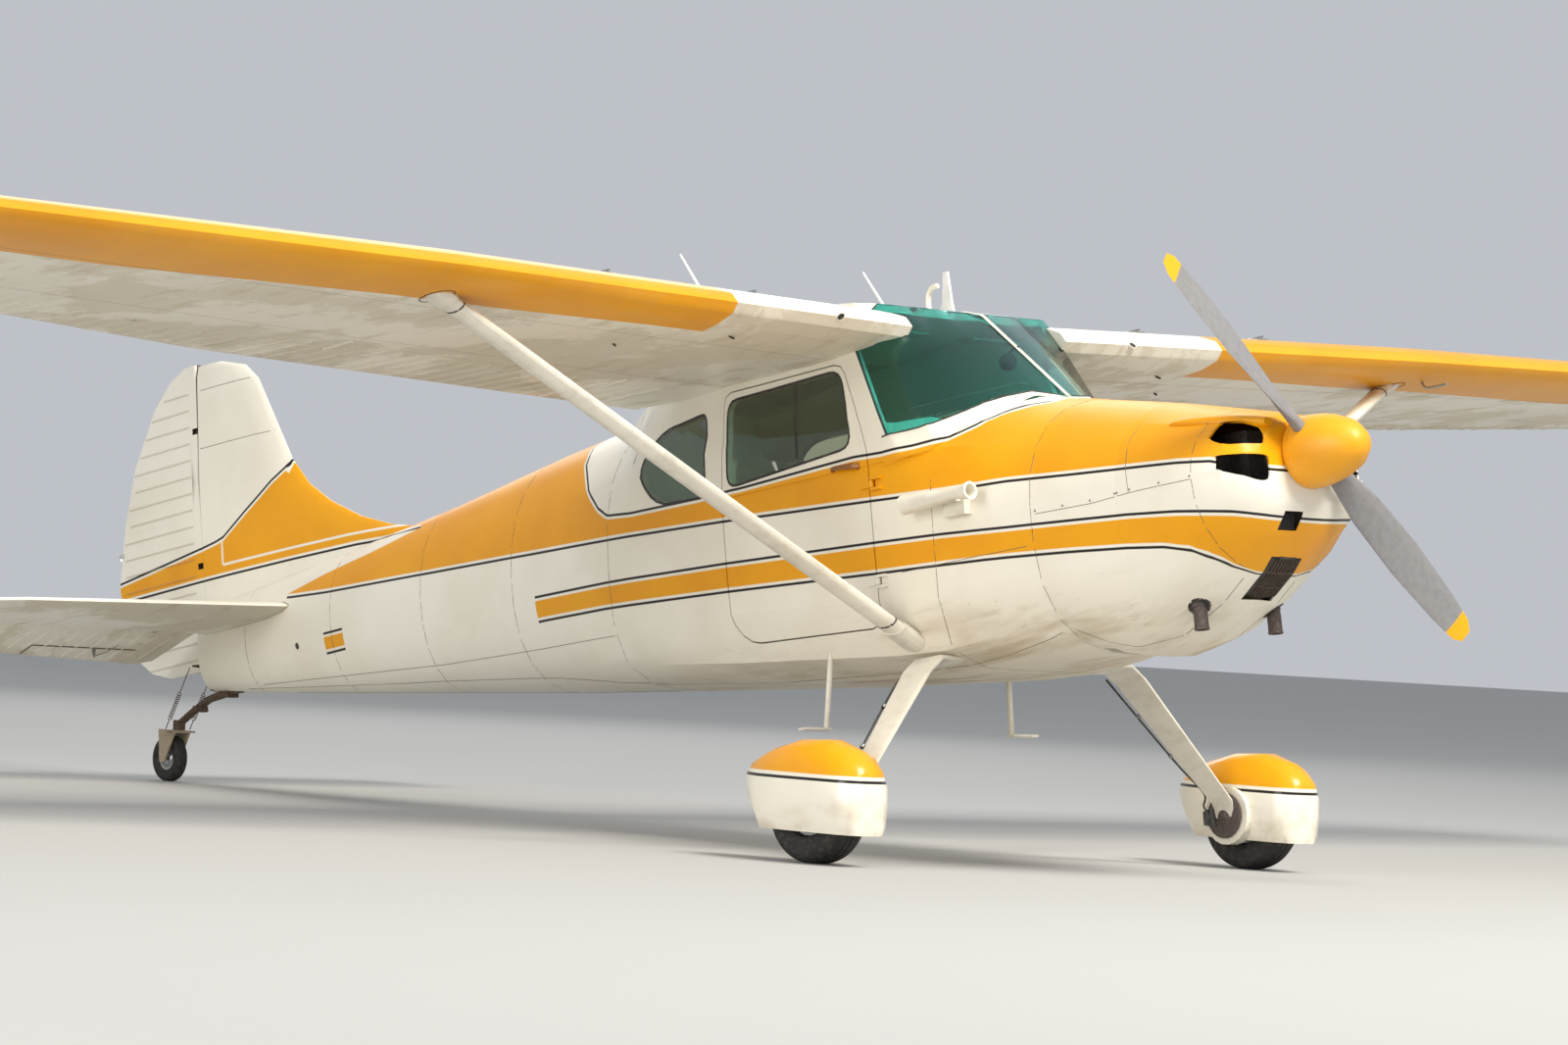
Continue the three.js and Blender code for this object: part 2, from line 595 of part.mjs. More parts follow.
// A hinge: a lug on the fixed piece, a slot in the moving one, and a pin through both
function hingeSet(at, axis, forward, radius, lugReach) {
  const centre = new THREE.Vector3(...at);
  const along = new THREE.Vector3(...axis).normalize();
  const ahead = new THREE.Vector3(...forward).normalize();
  const place = (a, f) => centre.clone().addScaledVector(along, a).addScaledVector(ahead, f).toArray();
  const block = (half, width, from, to) => {
    const size = [2 * half, width, to - from];
    const geometry = new THREE.BoxGeometry(...size);
    const side = ahead.clone().cross(along).normalize();
    geometry.applyMatrix4(new THREE.Matrix4().makeBasis(along, side, ahead));
    geometry.translate(...place(0, (from + to) / 2));
    return toSolid(geometry);
  };
  const lugHalf = 0.3;
  return {
    lug: cut(block(lugHalf, 2 * radius * 0.62, -radius * 0.62, lugReach),
      rod(place(-1, 0), place(1, 0), 0.2, 0.2, 8)),
    slot: join(block(lugHalf + hingeGap, 14, -radius * 0.62 - hingeGap * 1.6, lugReach + 4)),
    pin: rod(place(-0.9, 0), place(0.9, 0), 0.17, 0.17, 8),
  };
}

// Splits a surface along a hinge line into its fixed and moving pieces
function splitAtHinge(whole, ends, sideGap, hingeShares, options = {}) {
  const [a, b] = ends;
  const inner = (end, other, gap) => {
    const t = gap / Math.abs(other.point[1] - end.point[1]);
    const mix = (p, q) => p + (q - p) * t;
    return { point: end.point.map((p, i) => mix(p, other.point[i])), radius: mix(end.radius, other.radius) };
  };
  let fixed = cut(whole, hingedSpace(ends, hingeGap));
  let moving = whole.intersect(hingedSpace([inner(a, b, sideGap), inner(b, a, sideGap)], 0));
  const axis = b.point.map((value, i) => value - a.point[i]);
  for (const share of hingeShares) {
    const at = a.point.map((value, i) => value + axis[i] * share);
    const radius = a.radius + (b.radius - a.radius) * share;
    const set = hingeSet(at, axis, options.forward ?? [1, 0, 0], Math.min(radius, 0.9), radius + 2);
    fixed = join(fixed, set.lug);
    moving = join(cut(moving, set.slot), set.pin);
  }
  return { fixed: largest(fixed), moving: largest(moving), at: a.point, axis };
}

// The noses' radii are a little over the thickness there, so that they cross the skin cleanly
const noseFullness = 1.05;

function flapEnd(y) {
  const section = sectionAt(y);
  const hinge = wingPoint(section, 1 - flap.chordShare, -1);
  const top = wingPoint(section, 1 - flap.chordShare, 1);
  return { point: hinge, radius: (top[2] - hinge[2]) * noseFullness };
}

function aileronEnd(y) {
  const section = sectionAt(y);
  const top = wingPoint(section, 1 - aileron.chordShare, 1);
  const base = wingPoint(section, 1 - aileron.chordShare, -1);
  const radius = ((top[2] - base[2]) / 2) * noseFullness;
  return { point: top.map((value, i) => (value + base[i]) / 2), radius };
}

function buildWing() {
  const plain = wingSolid(0);
  const ailerons = splitAtHinge(plain, [aileronEnd(aileron.innerY), aileronEnd(aileron.outerY)],
    0.25, [0.2, 0.8]);
  const flaps = splitAtHinge(ailerons.fixed, [flapEnd(flap.innerY), flapEnd(flap.outerY)],
    0.25, [0.15, 0.85]);
  return { wing: cut(flaps.fixed, clearSkin), aileron: ailerons, flap: flaps };
}

// Struts: a streamlined bar with a cuff at each end
function strutRing([x, y, z], scale) {
  const ring = [];
  const sides = 12;
  for (let k = 0; k < sides; k += 1) {
    const angle = (2 * Math.PI * k) / sides;
    const blunt = Math.cos(angle) > 0 ? 0.42 : 0.58;
    ring.push([
      x + strut.chord * scale * blunt * Math.cos(angle),
      y - 0.5 * strut.thickness * scale * Math.sin(angle) * 0.5,
      z + 0.5 * strut.thickness * scale * Math.sin(angle),
    ]);
  }
  return ring;
}

function buildStrut() {
  const along = (t) => strut.lower.map((value, i) => value + (strut.upper[i] - value) * t);
  const bar = loft([strutRing(along(-0.02), 1), strutRing(along(1.03), 1)]);
  const lowerCuff = loft([strutRing(along(-0.02), 1.25), strutRing(along(0.035), 1.2)]);
  const upperCuff = loft([strutRing(along(0.96), 1.2), strutRing(along(1.03), 1.35)]);
  return largest(cut(join(bar, lowerCuff, upperCuff), clearSkin, wingSolid(seam)));
}

const { wing: wingFixed, aileron: aileronSplit, flap: flapSplit } = buildWing();
const strutSolid = buildStrut();
const doorShell = skinShell.intersect(doorPrism);
const doorLeaf = cut(doorShell.intersect(portHalf), doorGlassHole,
  ...doorHinges.map((hinge) => hinge.leafNotch));
const doorSolid = largest(join(doorLeaf, ...doorHinges.map((hinge) => hinge.arm)));
const doorGlass = largest(glassShell.intersect(doorGlassPrism).intersect(portHalf));
const rearGlass = largest(glassShell.intersect(rearGlassPrism).intersect(portHalf));
for (const [side, name] of [[1, 'left'], [-1, 'right']]) {
  const placed = (solid) => (side > 0 ? solid : mirrored(solid));
  const point = ([x, y, z]) => [x, side * y, z];
  part(`wing_${name}`, placed(wingFixed), white);
  part(`strut_${name}`, placed(strutSolid), white);
  part(`rear_window_${name}`, placed(rearGlass), greyGlass);
  for (const [kind, split] of [['aileron', aileronSplit], ['flap', flapSplit]]) {
    const mesh = part(`${kind}_${name}`, placed(split.moving), white);
    pivot(`${kind}_${name}_hinge`, point(split.at), point(split.axis), [mesh]);
  }
  const meshes = [part(`door_${name}`, placed(doorSolid), white),
    part(`door_window_${name}`, placed(doorGlass), greyGlass)];
  pivot(`door_${name}_hinge`, [door.frontX, side * door.hingeY, 0], [0, 0, 1], meshes);
}

// Tail surfaces: lens sections from a leading edge to a hinge line, and noses round the hinge

// A section in the plane of (x, side), thin at its leading edge and 2 x radius thick at its rear
function finRing(leadX, rearX, radius, place) {
  const shares = [0, 0.06, 0.25, 0.6, 1];
  const widths = [0.12, 0.62, 1.12, 1.2, 1];
  const side = shares.map((share, i) => [leadX + (rearX - leadX) * share, widths[i] * radius]);
  const back = side.slice().reverse().map(([x, w]) => [x, -w]);
  return [...side, ...back].map(([x, w]) => place(x, w));
}

// A moving surface's section: a round nose about the hinge, tapering to a thin trailing edge
function rudderRing(hingeX, radius, trailX, place) {
  const ring = [];
  for (let k = 0; k <= 8; k += 1) {
    const angle = Math.PI * (k / 8 - 0.5);
    ring.push([hingeX + radius * Math.cos(angle), radius * Math.sin(angle)]);
  }
  ring.push([trailX, 0.16], [trailX, -0.16]);
  return ring.map(([x, w]) => place(x, w));
}

const tailHingeZ = tailplane.z;
const stabSections = [
  { y: tailplane.rootY - 6, lead: tailplane.leadingRootX, radius: 1.25 },
  { y: tailplane.rootY, lead: tailplane.leadingRootX, radius: 1.25 },
  { y: 54, lead: -200.6, radius: 0.92 },
  { y: 60, lead: -202.6, radius: 0.85 },
  { y: 63, lead: -206, radius: 0.6 },
  { y: tailplane.halfSpan, lead: -211, radius: 0.25 },
];
const elevatorSections = [
  { y: elevator.innerY, trail: -234.6, radius: 1.23 },
  { y: elevator.innerY + 2.6, trail: -236.2, radius: 1.21 },
  { y: 55, trail: -232.6, radius: 0.91 },
  { y: 60.5, trail: -231, radius: 0.84 },
  { y: elevator.outerY, trail: -227, radius: 0.7 },
];
const hingeAxisY = [0, 1, 0];
const torqueTubeRadius = 0.75;

function buildTailplane() {
  const half = loft(stabSections.map(({ y, lead, radius }) => finRing(lead, tailplane.hingeX, radius,
    (x, w) => [x, y, tailHingeZ + w])));
  const cove = loft(elevatorSections.map(({ y, radius }, i) => {
    const at = i === 0 ? -4 : (i === elevatorSections.length - 1 ? y + hingeGap : y);
    return rudderRing(tailplane.hingeX, radius + hingeGap, -240, (x, w) => [x, at, tailHingeZ + w]);
  }));
  const moving = loft(elevatorSections.map(({ y, radius, trail }) => rudderRing(
    tailplane.hingeX, radius, trail, (x, w) => [x, y, tailHingeZ + w])));
  let fixed = cut(half, cove, box([-260, -4, 0], [tailplane.hingeX - 0.05, elevator.outerY + hingeGap, 30]));
  let free = moving;
  for (const y of [14, 50]) {
    const set = hingeSet([tailplane.hingeX, y, tailHingeZ], hingeAxisY, [1, 0, 0], 0.85, 2.4);
    fixed = join(fixed, set.lug);
    free = join(cut(free, set.slot), set.pin);
  }
  const tube = rod([tailplane.hingeX, -elevator.innerY - 1, tailHingeZ],
    [tailplane.hingeX, elevator.innerY + 1, tailHingeZ], torqueTubeRadius, torqueTubeRadius, 12);
  const bothHalves = join(fixed, mirrored(fixed));
  const droop = (solid) => solid.translate(-tailplane.hingeX, 0, -tailHingeZ)
    .rotate([0, -elevator.droop, 0]).translate(tailplane.hingeX, 0, tailHingeZ);
  return { stabilizer: bothHalves, elevator: droop(join(free, mirrored(free), tube)) };
}

// Vertical tail: leading and trailing edges at a few heights
const finLevels = [
  { z: 12, lead: -172, radius: 1.3 },
  { z: 20.2, lead: -165, radius: 1.3 },
  { z: 21.6, lead: -172, radius: 1.3 },
  { z: 24.2, lead: -180, radius: 1.3 },
  { z: 28, lead: -188, radius: 1.3 },
  { z: 32, lead: -194, radius: 1.3 },
  { z: 37, lead: -198.4, radius: 1.3 },
  { z: 52.6, lead: -206.9, radius: 1 },
  { z: 55.6, lead: -210.4, radius: 0.9 },
  { z: finHinge.topZ, lead: -217, radius: 0.6 },
];
const rudderLevels = [
  { z: 3.7, trail: -236.6, radius: 0.9 },
  { z: 5.2, trail: -242, radius: 1.25 },
  { z: 8, trail: -246, radius: 1.3 },
  { z: 14, trail: -249.3, radius: 1.3 },
  { z: 21.9, trail: -250.6, radius: 1.3 },
  { z: 32.2, trail: -248.2, radius: 1.25 },
  { z: 42.2, trail: -244.4, radius: 1.15 },
  { z: 51.8, trail: -237.6, radius: 1 },
  { z: 56, trail: -232.6, radius: 0.9 },
  { z: 57.8, trail: -228.2, radius: 0.7 },
];
const rudderFootZ = 3.7;

function buildVerticalTail() {
  let fin = loft(finLevels.map(({ z, lead, radius }) => finRing(lead, finHinge.x, radius,
    (x, w) => [x, w, z])));
  let rudder = loft(rudderLevels.map(({ z, trail, radius }) => rudderRing(finHinge.x, radius, trail,
    (x, w) => [x, w, z])));
  const cove = rod([finHinge.x, 0, rudderFootZ - 2], [finHinge.x, 0, 62],
    finHinge.radius + hingeGap, finHinge.radius + hingeGap, 24);
  fin = cut(fin, cove);
  for (const z of [22, 46]) {
    const set = hingeSet([finHinge.x, 0, z], [0, 0, 1], [1, 0, 0], 0.9, 2.6);
    fin = join(fin, set.lug);
    rudder = join(cut(rudder, set.slot), set.pin);
  }
  return { fin, rudder, cove };
}

const { stabilizer, elevator: elevatorSolid } = buildTailplane();
const { fin, rudder, cove: rudderCove } = buildVerticalTail();

function buildTailEnd() {
  const section = finRing(tailplane.leadingRootX, tailplane.hingeX, 1.25, (x, w) => [x, w]);
  const slotPlan = grown(section, 1.5 * seam);
  const stabSlot = loft([-12, 12].map((y) => slotPlan.map(([x, w]) => [x, y, tailHingeZ + w])));
  const tubeTunnel = rod([tailplane.hingeX, -12, tailHingeZ], [tailplane.hingeX, 12, tailHingeZ],
    torqueTubeRadius + hingeGap, torqueTubeRadius + hingeGap, 16);
  return largest(cut(slice(outerSkin, cabinRearX - seam, tailX), stabSlot, tubeTunnel, rudderCove));
}

part('tail_cone', buildTailEnd(), white);
part('stabilizer', stabilizer, white);
part('fin', largest(cut(fin, body(-95, -230, seam))), white);
const elevatorMesh = part('elevator', elevatorSolid, white);
pivot('elevator_hinge', [tailplane.hingeX, 0, tailHingeZ], hingeAxisY, [elevatorMesh]);
const rudderMesh = part('rudder', rudder, white);
pivot('rudder_hinge', [finHinge.x, 0, 30], [0, 0, 1], [rudderMesh]);

// Landing gear is drawn level with the floor, z up from it, and turned into the airframe
const sinPitch = Math.sin(radians(parkedPitch));
const cosPitch = Math.cos(radians(parkedPitch));

function pointFromGround([x, y, floor]) {
  const z = floor - thrustLineHeight;
  return [x * cosPitch + z * sinPitch, y, -x * sinPitch + z * cosPitch];
}

function fromGround(solid) {
  return solid.translate(0, 0, -thrustLineHeight).rotate([0, parkedPitch, 0]);
}

// Main gear: flat spring legs, axles, brakes, wheels and their fairings
const axle = pointFromGround([mainWheel.groundX, mainWheel.y, mainWheel.radius]);
const legStations = [
  { y: 15.5, z: -22.4, midX: -22.6, chord: 6.6, thickness: 1 },
  { y: 19.6, z: -22.3, midX: -22.6, chord: 6.5, thickness: 1 },
  { y: 22.2, z: -24.2, midX: -22.5, chord: 6.2, thickness: 0.95 },
  { y: 38.3, z: axle[2] + 2.2, midX: axle[0], chord: 4.2, thickness: 0.7 },
  { y: 39.2, z: axle[2] - 1.9, midX: axle[0], chord: 4, thickness: 0.7 },
];

function legRing({ y, z, midX, chord, thickness }, i) {
  const ahead = legStations[Math.min(i + 1, legStations.length - 1)];
  const behind = legStations[Math.max(i - 1, 0)];
  const run = new THREE.Vector2(ahead.y - behind.y, ahead.z - behind.z).normalize();
  const [normalY, normalZ] = [(-run.y * thickness) / 2, (run.x * thickness) / 2];
  const edge = chord / 2;
  const corner = (along, across) => [midX + along, y + normalY * across, z + normalZ * across];
  return [
    corner(edge, -0.3), corner(edge, 0.3), corner(edge - 0.5, 1), corner(0.5 - edge, 1),
    corner(-edge, 0.3), corner(-edge, -0.3), corner(0.5 - edge, -1), corner(edge - 0.5, -1),
  ];
}

// Wheel fairing: sections across the wheel's path, from nose to tail, above the floor
const pantStations = [
  { x: 11.2, low: 3.2, high: 13, half: 2.2 },
  { x: 10.4, low: 2.6, high: 14.6, half: 3.7 },
  { x: 8, low: 2.4, high: 16.5, half: 4.7 },
  { x: 3, low: 2.4, high: 17.9, half: 5 },
  { x: -3, low: 2.1, high: 17.6, half: 5 },
  { x: -8.6, low: 3, high: 16.1, half: 4.6 },
  { x: -12.6, low: 7.2, high: 14.3, half: 2.6 },
  { x: -14.6, low: 9.8, high: 12.9, half: 1.2 },
];
const pantLip = 4.6;
const pantWall = 0.22;
const pantPower = 2.6;
const pantSides = 14;

function pantBody(inset) {
  return loft(pantStations.map(({ x, low, high, half }, i) => {
    const atEnd = i === 0 || i === pantStations.length - 1;
    const along = mainWheel.groundX + x - (atEnd ? Math.sign(x) * inset : 0);
    const [centre, tall] = [(low + high) / 2, (high - low) / 2 - inset];
    const ring = [];
    for (let k = 0; k < pantSides; k += 1) {
      const angle = (2 * Math.PI * k) / pantSides;
      const [c, s] = [Math.cos(angle), Math.sin(angle)];
      const reach = (Math.abs(c) ** pantPower + Math.abs(s) ** pantPower) ** (-1 / pantPower);
      ring.push([along, mainWheel.y + (half - inset) * c * reach, centre + tall * s * reach]);
    }
    return ring;
  }));
}

function buildPant() {
  const { groundX, y, radius } = mainWheel;
  const mouth = box([groundX - 20, y - 8, 0], [groundX + 20, y + 8, pantLip]);
  const innerHole = rod([groundX, 38, radius], [groundX, 43, radius], 3.7, 3.7, 20);
  return fromGround(largest(cut(pantBody(0), pantBody(pantWall), mouth, innerHole)));
}

function buildGearLeg() {
  const stub = rod([axle[0], 39, axle[2]], [axle[0], axle[1] + 2.4, axle[2]], 0.75, 0.75, 16);
  const caliper = box([axle[0] - 3.2, 39.2, axle[2] - 1.2], [axle[0] - 1.2, 40.3, axle[2] + 1.2]);
  const saddle = cut(rod([axle[0], 39, axle[2]], [axle[0], 41, axle[2]], 4.4, 4.4, 20),
    fromGround(pantBody(-seam)));
  const disc = rod([axle[0], 39.1, axle[2]], [axle[0], 40.2, axle[2]], 2.4, 2.4, 20);
  return largest(cut(join(loft(legStations.map(legRing)), stub, caliper, saddle, disc), clearSkin));
}

// The turn that puts a flat of a many-sided wheel on the floor
function flatAtFloor(segments) {
  return parkedPitch + 180 / segments;
}

function buildTyre(radius, width, rimRadius, centre, segments) {
  const half = width / 2;
  const profile = [
    [rimRadius, -half * 0.62], [rimRadius + 0.5, -half * 0.88], [radius * 0.78, -half],
    [radius * 0.93, -half * 0.76], [radius, -half * 0.3], [radius, half * 0.3],
    [radius * 0.93, half * 0.76], [radius * 0.78, half], [rimRadius + 0.5, half * 0.88],
    [rimRadius, half * 0.62], [rimRadius, -half * 0.62],
  ];
  return turned(profile, centre, segments, flatAtFloor(segments));
}

function buildRim(rimRadius, width, bore, centre, segments) {
  const half = width * 0.3;
  const outer = rimRadius - seam;
  const profile = [
    [bore, -half * 0.9], [bore + 0.7, -half * 0.9], [outer - 0.7, -half * 0.4], [outer - 0.4, -half],
    [outer, -half], [outer, half], [outer - 0.4, half], [outer - 0.7, half * 0.4],
    [bore + 0.7, half * 0.9], [bore, half * 0.9], [bore, -half * 0.9],
  ];
  return turned(profile, centre, segments, flatAtFloor(segments));
}

const gearLeg = buildGearLeg();
const pantSolid = buildPant();
for (const [side, name] of [[1, 'left'], [-1, 'right']]) {
  const placed = (solid) => (side > 0 ? solid : mirrored(solid));
  const centre = [axle[0], side * axle[1], axle[2]];
  part(`gear_leg_${name}`, placed(gearLeg), white);
  part(`wheel_fairing_${name}`, placed(pantSolid), white);
  const wheelMeshes = [
    part(`tyre_${name}`,
      buildTyre(mainWheel.radius, mainWheel.width, mainWheel.rimRadius, centre, 24), black),
    part(`wheel_${name}`, buildRim(mainWheel.rimRadius, mainWheel.width, 0.775, centre, 24), white),
  ];
  pivot(`wheel_${name}_axle`, centre, hingeAxisY, wheelMeshes);
}

// Tail wheel: leaf spring, swivelling fork and small tyre
const swivelGroundX = tailWheel.groundX + tailWheel.trail;
const crownFloor = 8.65;
const crownTop = 9.15;
const socketTop = 10.9;
const tailAxle = pointFromGround([tailWheel.groundX, 0, tailWheel.radius]);
const swivelFoot = pointFromGround([swivelGroundX, 0, crownTop]);
const upAxis = [sinPitch, 0, cosPitch];

function buildTailSpring() {
  const leaf = [
    { x: -206, z: -1, thick: 1.4 }, { x: -218, z: -0.6, thick: 1.4 }, { x: -226, z: -1.4, thick: 0.8 },
    { x: -231, z: -3, thick: 0.6 }, { x: swivelFoot[0] - 0.4, z: swivelFoot[2] + 0.8, thick: 0.6 },
  ];
  const rings = leaf.map(({ x, z, thick }) => [
    [x, 0.75, z - thick / 2], [x, 0.75, z + thick / 2], [x, -0.75, z + thick / 2], [x, -0.75, z - thick / 2],
  ]);
  const socket = fromGround(
    rod([swivelGroundX, 0, crownTop + seam], [swivelGroundX, 0, socketTop], 1.1, 1.1, 14));
  return largest(cut(join(loft(rings), socket), clearSkin));
}

function buildTailFork() {
  const [foot, head] = [tailWheel.groundX, swivelGroundX];
  const arm = (y) => loft([
    [[head + 1.1, y - 0.15, crownFloor + 0.1], [head + 1.1, y + 0.15, crownFloor + 0.1],
      [foot - 1.4, y + 0.15, crownFloor + 0.1], [foot - 1.4, y - 0.15, crownFloor + 0.1]],
    [[foot + 0.7, y - 0.15, 3.4], [foot + 0.7, y + 0.15, 3.4],
      [foot - 0.7, y + 0.15, 3.4], [foot - 0.7, y - 0.15, 3.4]],
  ]);
  const crown = box([foot - 1.4, -1.75, crownFloor], [head + 1.1, 1.75, crownTop]);
  const horn = box([head - 0.5, -3.2, crownFloor + 0.1], [head + 0.5, 3.2, crownTop - 0.1]);
  const axlePin = rod([foot, -1.7, tailWheel.radius], [foot, 1.7, tailWheel.radius], 0.3, 0.3, 12);
  return fromGround(join(crown, horn, arm(1.6), arm(-1.6), axlePin));
}

part('tail_spring', buildTailSpring(), rusty);
const tailWheelMeshes = [
  part('tail_tyre', buildTyre(tailWheel.radius, tailWheel.width, tailWheel.rimRadius, tailAxle, 18), black),
  part('tail_hub', buildRim(tailWheel.rimRadius, tailWheel.width, 0.31 + seam, tailAxle, 18), steel),
];
const forkMesh = part('tail_fork', buildTailFork(), rusty);
const swivel = pivot('tail_swivel', swivelFoot, upAxis, [forkMesh]);
swivel.attach(pivot('tail_wheel_axle', tailAxle, hingeAxisY, tailWheelMeshes));

// Propeller: two twisted blades on a hub, under a spinner
const bladeSections = [
  { r: 2.4, chord: 2.7, thick: 2.4, pitch: 52 },
  { r: 6.5, chord: 3.6, thick: 1.9, pitch: 42 },
  { r: 12, chord: 5.1, thick: 1, pitch: 32 },
  { r: 22, chord: 5.9, thick: 0.62, pitch: 21 },
  { r: 32, chord: 5, thick: 0.42, pitch: 16 },
  { r: 36.6, chord: 3.9, thick: 0.3, pitch: 14 },
  { r: propeller.radius, chord: 2, thick: 0.2, pitch: 13 },
];
const bladeSides = 10;

function bladeRing({ r, chord, thick, pitch }, grow) {
  const ring = [];
  for (let k = 0; k < bladeSides; k += 1) {
    const angle = (2 * Math.PI * k) / bladeSides;
    const across = (chord / 2 + grow) * Math.cos(angle);
    const through = (thick / 2 + grow) * Math.sin(angle) * (Math.cos(angle) > 0 ? 1 : 0.75);
    const turn = radians(pitch);
    const sideways = across * Math.cos(turn) - through * Math.sin(turn);
    ring.push([
      propeller.x + across * Math.sin(turn) + through * Math.cos(turn), -sideways, r,
    ]);
  }
  return ring;
}

function buildPropeller() {
  const blade = loft(bladeSections.map((section) => bladeRing(section, 0)));
  const hub = rod([propeller.x - 1.7, 0, 0], [propeller.x + 1.7, 0, 0], 3, 3, 16);
  const both = join(hub, blade, blade.rotate([180, 0, 0]));
  return both.rotate([propeller.bladeAngle, 0, 0]);
}

const spinnerProfile = [
  [0, 37.62], [propeller.spinnerRadius, 37.62], [propeller.spinnerRadius + 0.08, 38.4], [5.1, 40.8],
  [4.6, 43.2], [3.6, 45.8], [2.1, 47.6], [0, propeller.tipX],
];

function buildSpinner() {
  const dome = turned(spinnerProfile, [0, 0, 0], 24).rotate([0, 0, -90]);
  const core = rod([36, 0, 0], [propeller.x + 1.7 + 3 * seam, 0, 0], 3.1, 3.1, 16);
  const slot = loft(bladeSections.slice(0, 3).map((section) => bladeRing(section, 3 * seam)));
  const slots = join(slot, slot.rotate([180, 0, 0])).rotate([propeller.bladeAngle, 0, 0]);
  return largest(cut(dome, core.rotate([propeller.bladeAngle, 0, 0]), slots));
}

const propellerMeshes = [part('propeller', buildPropeller(), steel), part('spinner', buildSpinner(), yellow)];
pivot('propeller_shaft', [propeller.x, 0, 0], [1, 0, 0], propellerMeshes);

// Engine: one plain block with its front shaft, at its real place
function buildEngine() {
  const cylinders = box([4, -13, -8], [28, 13, 2.4]);
  const crankcase = box([3, -5.5, -10], [31, 5.5, 4]);
  const nose = rod([30, 0, 0], [36.4, 0, 0], 2.2, 2, 16);
  const flange = rod([36, 0, 0], [propeller.x - 1.7 - seam, 0, 0], 2.4, 2.4, 16);
  const mount = box([cowlSeamX + seam, -6, -8], [5, 6, -2]);
  return join(cylinders, crankcase, nose, flange, mount);
}

part('engine', buildEngine(), black);

// Boarding step: a bent bar with a flat tread
function buildStep() {
  const bar = rod([-44.8, 18.3, -17.5], [-46, 19.2, -29.6], 0.45, 0.45, 10);
  const tread = box([-46.9, 18.8, -29.75], [-45.1, 24.1, -29.4]);
  return largest(cut(join(bar, tread), clearSkin));
}

// Instrument panel with its two control wheels
const panelX = -18.4;
const columnY = 9.2;
const columnZ = 6.2;
const wheelX = -26.4;
const wheelPoints = [
  [-6, 3.4], [-6.3, 0.4], [-4.4, -2.4], [0, -3.2], [4.4, -2.4], [6.3, 0.4], [6, 3.4],
];

function buildPanel() {
  const board = body(-10, -30, -wallThickness - seam)
    .intersect(box([panelX - 0.7, -30, 0.8], [panelX + 0.7, 30, 30]));
  const wheelCurve = new THREE.CatmullRomCurve3(wheelPoints
    .map(([y, z]) => new THREE.Vector3(wheelX, y, columnZ + z)));
  const grip = tube(wheelCurve, 0.42, 10, 6);
  const boss = box([wheelX - 0.5, -1.2, columnZ - 3.5], [wheelX + 0.5, 1.2, columnZ + 0.9]);
  const column = rod([wheelX, 0, columnZ], [panelX, 0, columnZ], 0.5, 0.5, 10);
  const control = join(grip, boss, column);
  return join(board, control.translate(0, columnY, 0), control.translate(0, -columnY, 0));
}

// Seats: each a cushion and a back as one soft solid, on a frame of its own
const floorZ = -20.5;
const frontSeat = {
  y: 9.3, half: 8.4, frontX: -34.5, rearX: -52,
  cushionZ: -8.5, thick: 4, backTopZ: 12.5, lean: 4.5,
};
const rearSeat = {
  half: 15.6, frontX: -68.5, rearX: -84.4,
  cushionZ: -7.4, thick: 4, backTopZ: 11.5, lean: 2.6,
};

function seatOutline({ frontX, rearX, cushionZ, thick, backTopZ, lean }) {
  return [
    [frontX, cushionZ - thick], [frontX, cushionZ], [rearX + 3.2, cushionZ - 0.8],
    [rearX + 3.2 - lean, backTopZ], [rearX - 0.2 - lean, backTopZ], [rearX - 0.6, cushionZ - thick],
  ];
}

function buildSeat(seat) {
  const outline = rounded(seatOutline(seat), [1.6, 1.8, 1.4, 1.5, 1.5, 0.4]);
  return sidePrism(outline, -seat.half, seat.half);
}

function buildSeatFrame({ frontX, rearX, cushionZ, thick, half }) {
  const top = cushionZ - thick - seam;
  const pan = box([rearX, -half + 0.8, top - 0.7], [frontX - 0.8, half - 0.8, top]);
  const legs = [-1, 1].flatMap((side) => [frontX - 2.6, rearX + 2.2].map((x) => rod(
    [x, side * (half - 1.8), top - 0.5], [x, side * (half - 1.8), floorZ - 4], 0.6, 0.6, 10)));
  const rails = [-1, 1].map((side) => box([rearX + 1, side * (half - 1.8) - 0.5, floorZ - 0.7],
    [frontX - 1.4, side * (half - 1.8) + 0.5, floorZ]));
  return join(pan, ...legs, ...rails);
}

// Everything below the cabin floor line is cut off the seat frames, which then stand on it
const floorCut = cut(box([-92, -25, -40], [-20, 25, 0]), body(-20, bulkheadX - 2, -wallThickness - seam));

for (const [side, name] of [[1, 'left'], [-1, 'right']]) {
  const placed = (solid) => (side > 0 ? solid : mirrored(solid));
  part(`exhaust_${name}`, placed(exhaust), rusty);
  part(`step_${name}`, placed(buildStep()), white);
  const shift = (solid) => solid.translate(0, side * frontSeat.y, 0);
  part(`front_seat_${name}`, shift(buildSeat(frontSeat)), cloth);
  part(`front_seat_frame_${name}`, cut(shift(buildSeatFrame(frontSeat)), floorCut), steel);
}
part('instrument_panel', buildPanel(), black);
part('rear_seat', buildSeat(rearSeat), cloth);
part('rear_seat_frame', cut(buildSeatFrame(rearSeat), floorCut), steel);

// Roof and wing aerials, venturi and air filter
const wingAerial = { foot: [-36, -46.4], footZ: 33, height: 6.6, lean: -5.4, radius: 0.16 };
const roofAerial = { foot: [-36, -9.8], footZ: 33.4, height: 6.4, lean: -5.4, radius: 0.16 };

